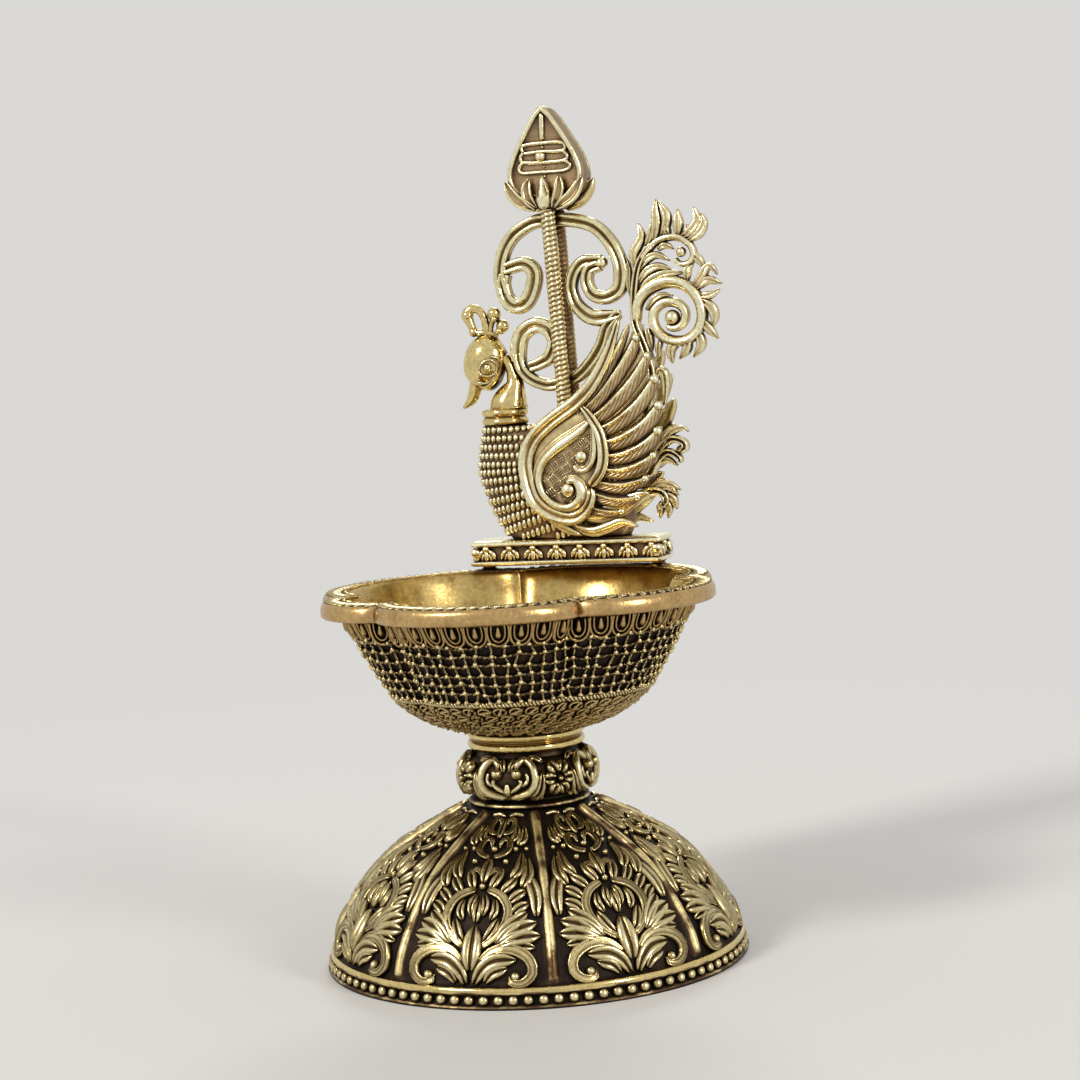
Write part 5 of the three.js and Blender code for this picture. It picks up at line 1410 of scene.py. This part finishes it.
# %% Tail curls
upper_curl = [
    vine(middle, [(11, 82), (16.4, 83.8), (18.6, 86.6), (20.8, 88.2), (22.9, 87.2), (23.2, 86.0)],
         [1.2, 1.1, 1.0, 0.8, 0.4], 1.5, 50, REEDED),
    vine(middle, [(17.6, 86), (19.6, 89.2), (21.8, 90.6), (23.8, 90.0), (24.2, 88.9), (23.0, 88.2)],
         [0.9, 0.85, 0.75, 0.7], 1.35, 44, REEDED),
    frond([(19.2, 88.4), (21.0, 91.6), (23.8, 92.6), (25.0, 91.8)], 0.9, 1.2),
    frond([(18.4, 86.4), (20.6, 86.8), (22.6, 85.6)], 0.7, 1.1),
    round_ball(23.2, 88.6, 0.8, squash=1.4),
]
lower_curl = [
    vine(middle, [(11, 77), (14.6, 79.8), (17, 81), (19.2, 80.7), (20.1, 79.2), (19.0, 78.0)],
         [1.2, 1.05, 0.9, 0.7], 1.5, 50, REEDED),
    frond([(15.8, 80.4), (18.6, 82.4), (20.8, 82.2), (22.9, 81.0)], 0.85, 1.2),
    frond([(17.6, 81.2), (20.6, 81.6), (22.4, 80.0)], 0.75, 1.2),
    frond([(18.8, 80.4), (21.2, 79.6), (22.0, 77.4)], 0.9, 1.2),
    frond([(19.4, 79.6), (20.4, 78.0), (20.2, 75.8)], 0.85, 1.2),
    frond([(19.0, 79.0), (18.8, 77.4), (18.6, 75.8)], 0.75, 1.2), round_ball(18.7, 77.9, 0.8, squash=1.3),
]
piece("upper_curl", merged(upper_curl), chased_brass, replaces=("tail_curl_upper",))
piece("lower_curl", merged(lower_curl), chased_brass, replaces=("tail_curl_lower",))

# %% [markdown]
# ## The scrolled ring
# A flat strap with two reeds on each face is bent into a great ring. It curls in at both ends,
# folds into a hook at the right and loops once more at the foot. It is the part of the lamp that
# asks most of the maker, because the reeds have to stay parallel round every turn, and here a
# single section swept along each line does just that.

# %% Ring strap
STRAPS = [
    ([(9.5, 123.8), (7.3, 122.9), (6.9, 120.4), (8.1, 118.3), (10.6, 117.7), (12.9, 119), (13.6, 121.4),
      (13.3, 124.5), (11.6, 128.2), (8.6, 131.2), (4, 132.6), (-0.9, 132.9), (-4, 132.3), (-7.4, 130.2),
      (-9.5, 127), (-10.3, 122.9), (-9.6, 119.4)], [1.1, 1.25, 1.42, 1.3, 1.3, 1.3, 1.3, 1.3]),
    ([(-9.3, 123.2), (-9.8, 121.4), (-9.5, 119.3), (-8.5, 117.7), (-6.8, 117.1), (-5.2, 118.0), (-4.0, 120.1),
      (-3.4, 122.6), (-4.0, 124.2), (-5.7, 125.0), (-9.4, 124.2)],
     [1.2, 1.4, 1.5, 1.5, 1.5, 1.5, 1.5, 1.45, 1.4, 1.3, 1.2]),
    ([(9.9, 124.6), (6.6, 124.6), (4.6, 123), (3.7, 120.2), (4.2, 117.4), (6, 115.1), (8.6, 113.9), (12.9, 114.4)],
     [1.1, 1.25, 1.2, 1.15, 1.3, 1.5, 1.5, 0.8]),
    ([(12.4, 114.4), (10.2, 112), (9, 108.9), (6.9, 105.9), (3.8, 103.2), (-0.9, 101.9), (-3.4, 102.3), (-5.7, 103.6),
      (-7.2, 105.6), (-7.6, 108.2)], [1, 1.25, 1.2, 1.15, 1.15]),
    ([(-7.6, 106.6), (-7.4, 109.6), (-6.7, 111.6), (-5.1, 112.9), (-3.2, 113.3), (-1.1, 112.3), (-0.2, 109.8),
      (-1.4, 107.2), (-3.3, 106.1), (-5.4, 105.5)], [1.4, 1.55, 1.55, 1.5, 1.45, 1.35, 1.25, 1.1]),
]
straps = []
for k, (line, width) in enumerate(STRAPS):
    widths = np.array(even(width, 8)) * 1.04
    straps.append(vine(middle, line, widths, 1.45 - 0.06 * k, 11 * len(line), TWIN, tip=False))
straps.append(round_ball(9.8, 124.2, 1.25, squash=1.15))
piece("ring_straps", merged(straps), strap_brass, replaces=("scroll_ring",))

# %% [markdown]
# ## The spear's shaft and head
# Two twisted cords stand in front of and behind the ring and carry a leaf-shaped blade. The
# node tree that made the bowl's cord winds these too, but thicker and with a longer pitch. The
# blade has a plain raised edge and a sunk field with three stacked bars, a bead and a rib from
# the tip, a common devotional mark, and a lotus with five petals holds it.

# %% Twisted shaft
t = np.linspace(0, 1, 160)[:, None]
shaft_lines = [np.array([(2.15 + BIRD_X, BIRD_Y + side * 3.0, 90)]) * (1 - t)
               + t * np.array([(0.75 + BIRD_X, BIRD_Y + side * 3.0, 134.6)]) for side in (-1, 1)]
shaft = cords("shaft_cords", shaft_lines, strap_brass, 1.34, 0.07, 1.86, 0.1, wear=0.45)
# The sides of the two cords that face each other are painted darker: painted shade of the narrow gap between them,
# which darkens the front of the far cord.
rubbed = shaft.data.attributes["worn"].data
for k, v in enumerate(shaft.data.vertices):
    beyond = abs(v.co.y / MM - BIRD_Y) - 3.0
    rubbed[k].value *= float(np.interp(beyond, [-0.7, 0.4], [0.15, 1.0]))
settle(shaft, replaces=("vel_shaft",))
tie = [[(2.05 + BIRD_X + 1.15 * math.cos(a), BIRD_Y + 2.4 * math.sin(a), z) for a in circle(16)]
       for z in (91, 91.6, 97.4, 98)]
piece("shaft_tie", rings_part(np.array(tie), 0.5), smooth_brass)

# %% Blade
BLADE_TOP, BLADE_X = 154.05, 0.5
BLADE_RIGHT = [(0.5, BLADE_TOP), (1.35, 153.6), (2.0, 152.6), (3.5, 150.3), (5.4, 147.2), (6.9, 144.4), (7.7, 141.8),
               (7.7, 140.2), (6.9, 138.6), (4.4, 137.0)]
mirror = [(2 * BLADE_X - x, z) for x, z in BLADE_RIGHT[:0:-1]]
edge = spline([*BLADE_RIGHT, *mirror, BLADE_RIGHT[0]], 145)[:-1]
edge[:, 1] = np.minimum(edge[:, 1], BLADE_TOP)
heart = np.array([BLADE_X, 143.8])
# The third number of a row is its "worn" value. The side face round the edge gets the lowest, a painted shade on that
# face.
HALF_BLADE = [(0.02, 2.45, 0.26), (0.5, 2.45, 0.22), (0.86, 2.45, 0.1), (0.9, 2.55, 0.4), (0.93, 2.95, 0.9),
              (0.97, 3.0, 1.0), (1.0, 2.7, 0.3)]
blade = [*HALF_BLADE, (1.0, 0, 0.0), *[(shrink, -y, worn) for shrink, y, worn in HALF_BLADE[::-1]]]
rings = shells(edge, heart, [(shrink, BIRD_Y - y) for shrink, y, _ in blade])
piece("spear_blade", rings_part(rings, np.array(blade)[:, 2:]), chased_brass, replaces=("vel_head",))

# %% Marks on the blade
face = plane_skin(BIRD_Y - 2.4)
rim_edge = heart + (edge - heart) * 0.945
marks = [
    vine(plane_skin(BIRD_Y - 2.85), [*rim_edge[::6].tolist(), rim_edge[0].tolist()], 0.5, 0.55, 130, tip=False),
    vine(face, [(0.45, 152.9), (0.35, 150.4), (0.25, 147.4)], [0.62, 0.62, 0.5], 0.75, 14),
    vine(face, [(-3.6, 145.6), (-3.8, 146.6), (-2.7, 147.0), (0.4, 147.1), (3.9, 147.0), (4.8, 146.2), (4.1, 145.4),
                (0.3, 145.5), (-3.4, 145.4)], 0.4, 0.7, 60, tip=False),
    vine(face, [(-3.5, 145.5), (-4.1, 144.8), (-3.6, 143.8), (0.2, 143.5), (4.4, 143.6), (5.1, 144.5), (4.2, 145.4)],
         0.4, 0.7, 50, tip=False),
    vine(face, [(-3.6, 143.8), (-4.5, 142.8), (-3.9, 141.8), (0.0, 141.7), (4.3, 141.7), (5.6, 142.6), (4.5, 143.6)],
         0.4, 0.7, 50, tip=False),
    stud(face, (-0.2, 144.6), 1.1, 1.35, 6, 16), stud(face, (0.3, 146.3), 0.3, 0.6, 4, 8),
    stud(face, (0.4, 142.7), 0.26, 0.5, 4, 8), stud(face, (0.4, 140.9), 0.3, 0.55, 4, 8),
]
piece("blade_marks", both_sides(marks), chased_brass)

# %% Lotus
cup = spline([(134.4, 1.3, 3.9), (134.9, 2.3, 4.3), (135.7, 3.3, 4.75), (136.5, 3.9, 4.85), (137.3, 3.6, 4.3)], 16)
a = circle(48)
cup_rings = [np.stack([0.6 + BIRD_X + x * np.cos(a), BIRD_Y + y * np.sin(a), np.full(48, z)], 1) for z, x, y in cup]
lotus = [rings_part(np.array(cup_rings), 0.2)]
OPEN_LEAF = [(-1, 0.3), (-0.92, 0.85), (-0.68, 1.0), (-0.42, 0.5), (0, 0.26), (0.42, 0.5), (0.68, 1.0), (0.92, 0.85),
             (1, 0.3), (0.6, -0.6), (-0.6, -0.6)]
near = plane_skin(BIRD_Y - 3.6)
petals = [
    ([(-1.2, 134.9), (-2.6, 136.9), (-2.9, 138.6), (-2.3, 140.6)], 1.05),
    ([(-1.4, 134.8), (-4.4, 136.4), (-6.0, 138.2), (-7.0, 140.3)], 1.15),
    ([(2.2, 134.9), (3.2, 137.0), (3.6, 138.6), (3.6, 140.8)], 1.05),
    ([(2.6, 134.8), (5.4, 136.4), (7.0, 138.2), (8.1, 140.3)], 1.15),
]
side_faces = [leaf(near, line, width, 1.1, 20, OPEN_LEAF) for line, width in petals]
side_faces.append(vine(plane_skin(BIRD_Y - 4.1), [(0.5, 134.6), (0.5, 136.0), (0.5, 138.0), (0.5, 140.9)],
                       [0.9, 1.5, 1.45, 1.0, 0.15], [1.0, 1.45, 1.25, 0.7], 22))
for k in range(-3, 4):
    vein = [(0.5 + k * 0.28, 136.4), (0.5 + k * 0.34, 137.8), (0.5 + k * 0.16, 139.6)]
    side_faces.append(vine(plane_skin(BIRD_Y - 4.9), vein, 0.11, 0.42, 8, ROUND[::2]))
piece("lotus", both_sides(side_faces + lotus), chased_brass, slot="polished_brass", replaces=("lotus_cup",))
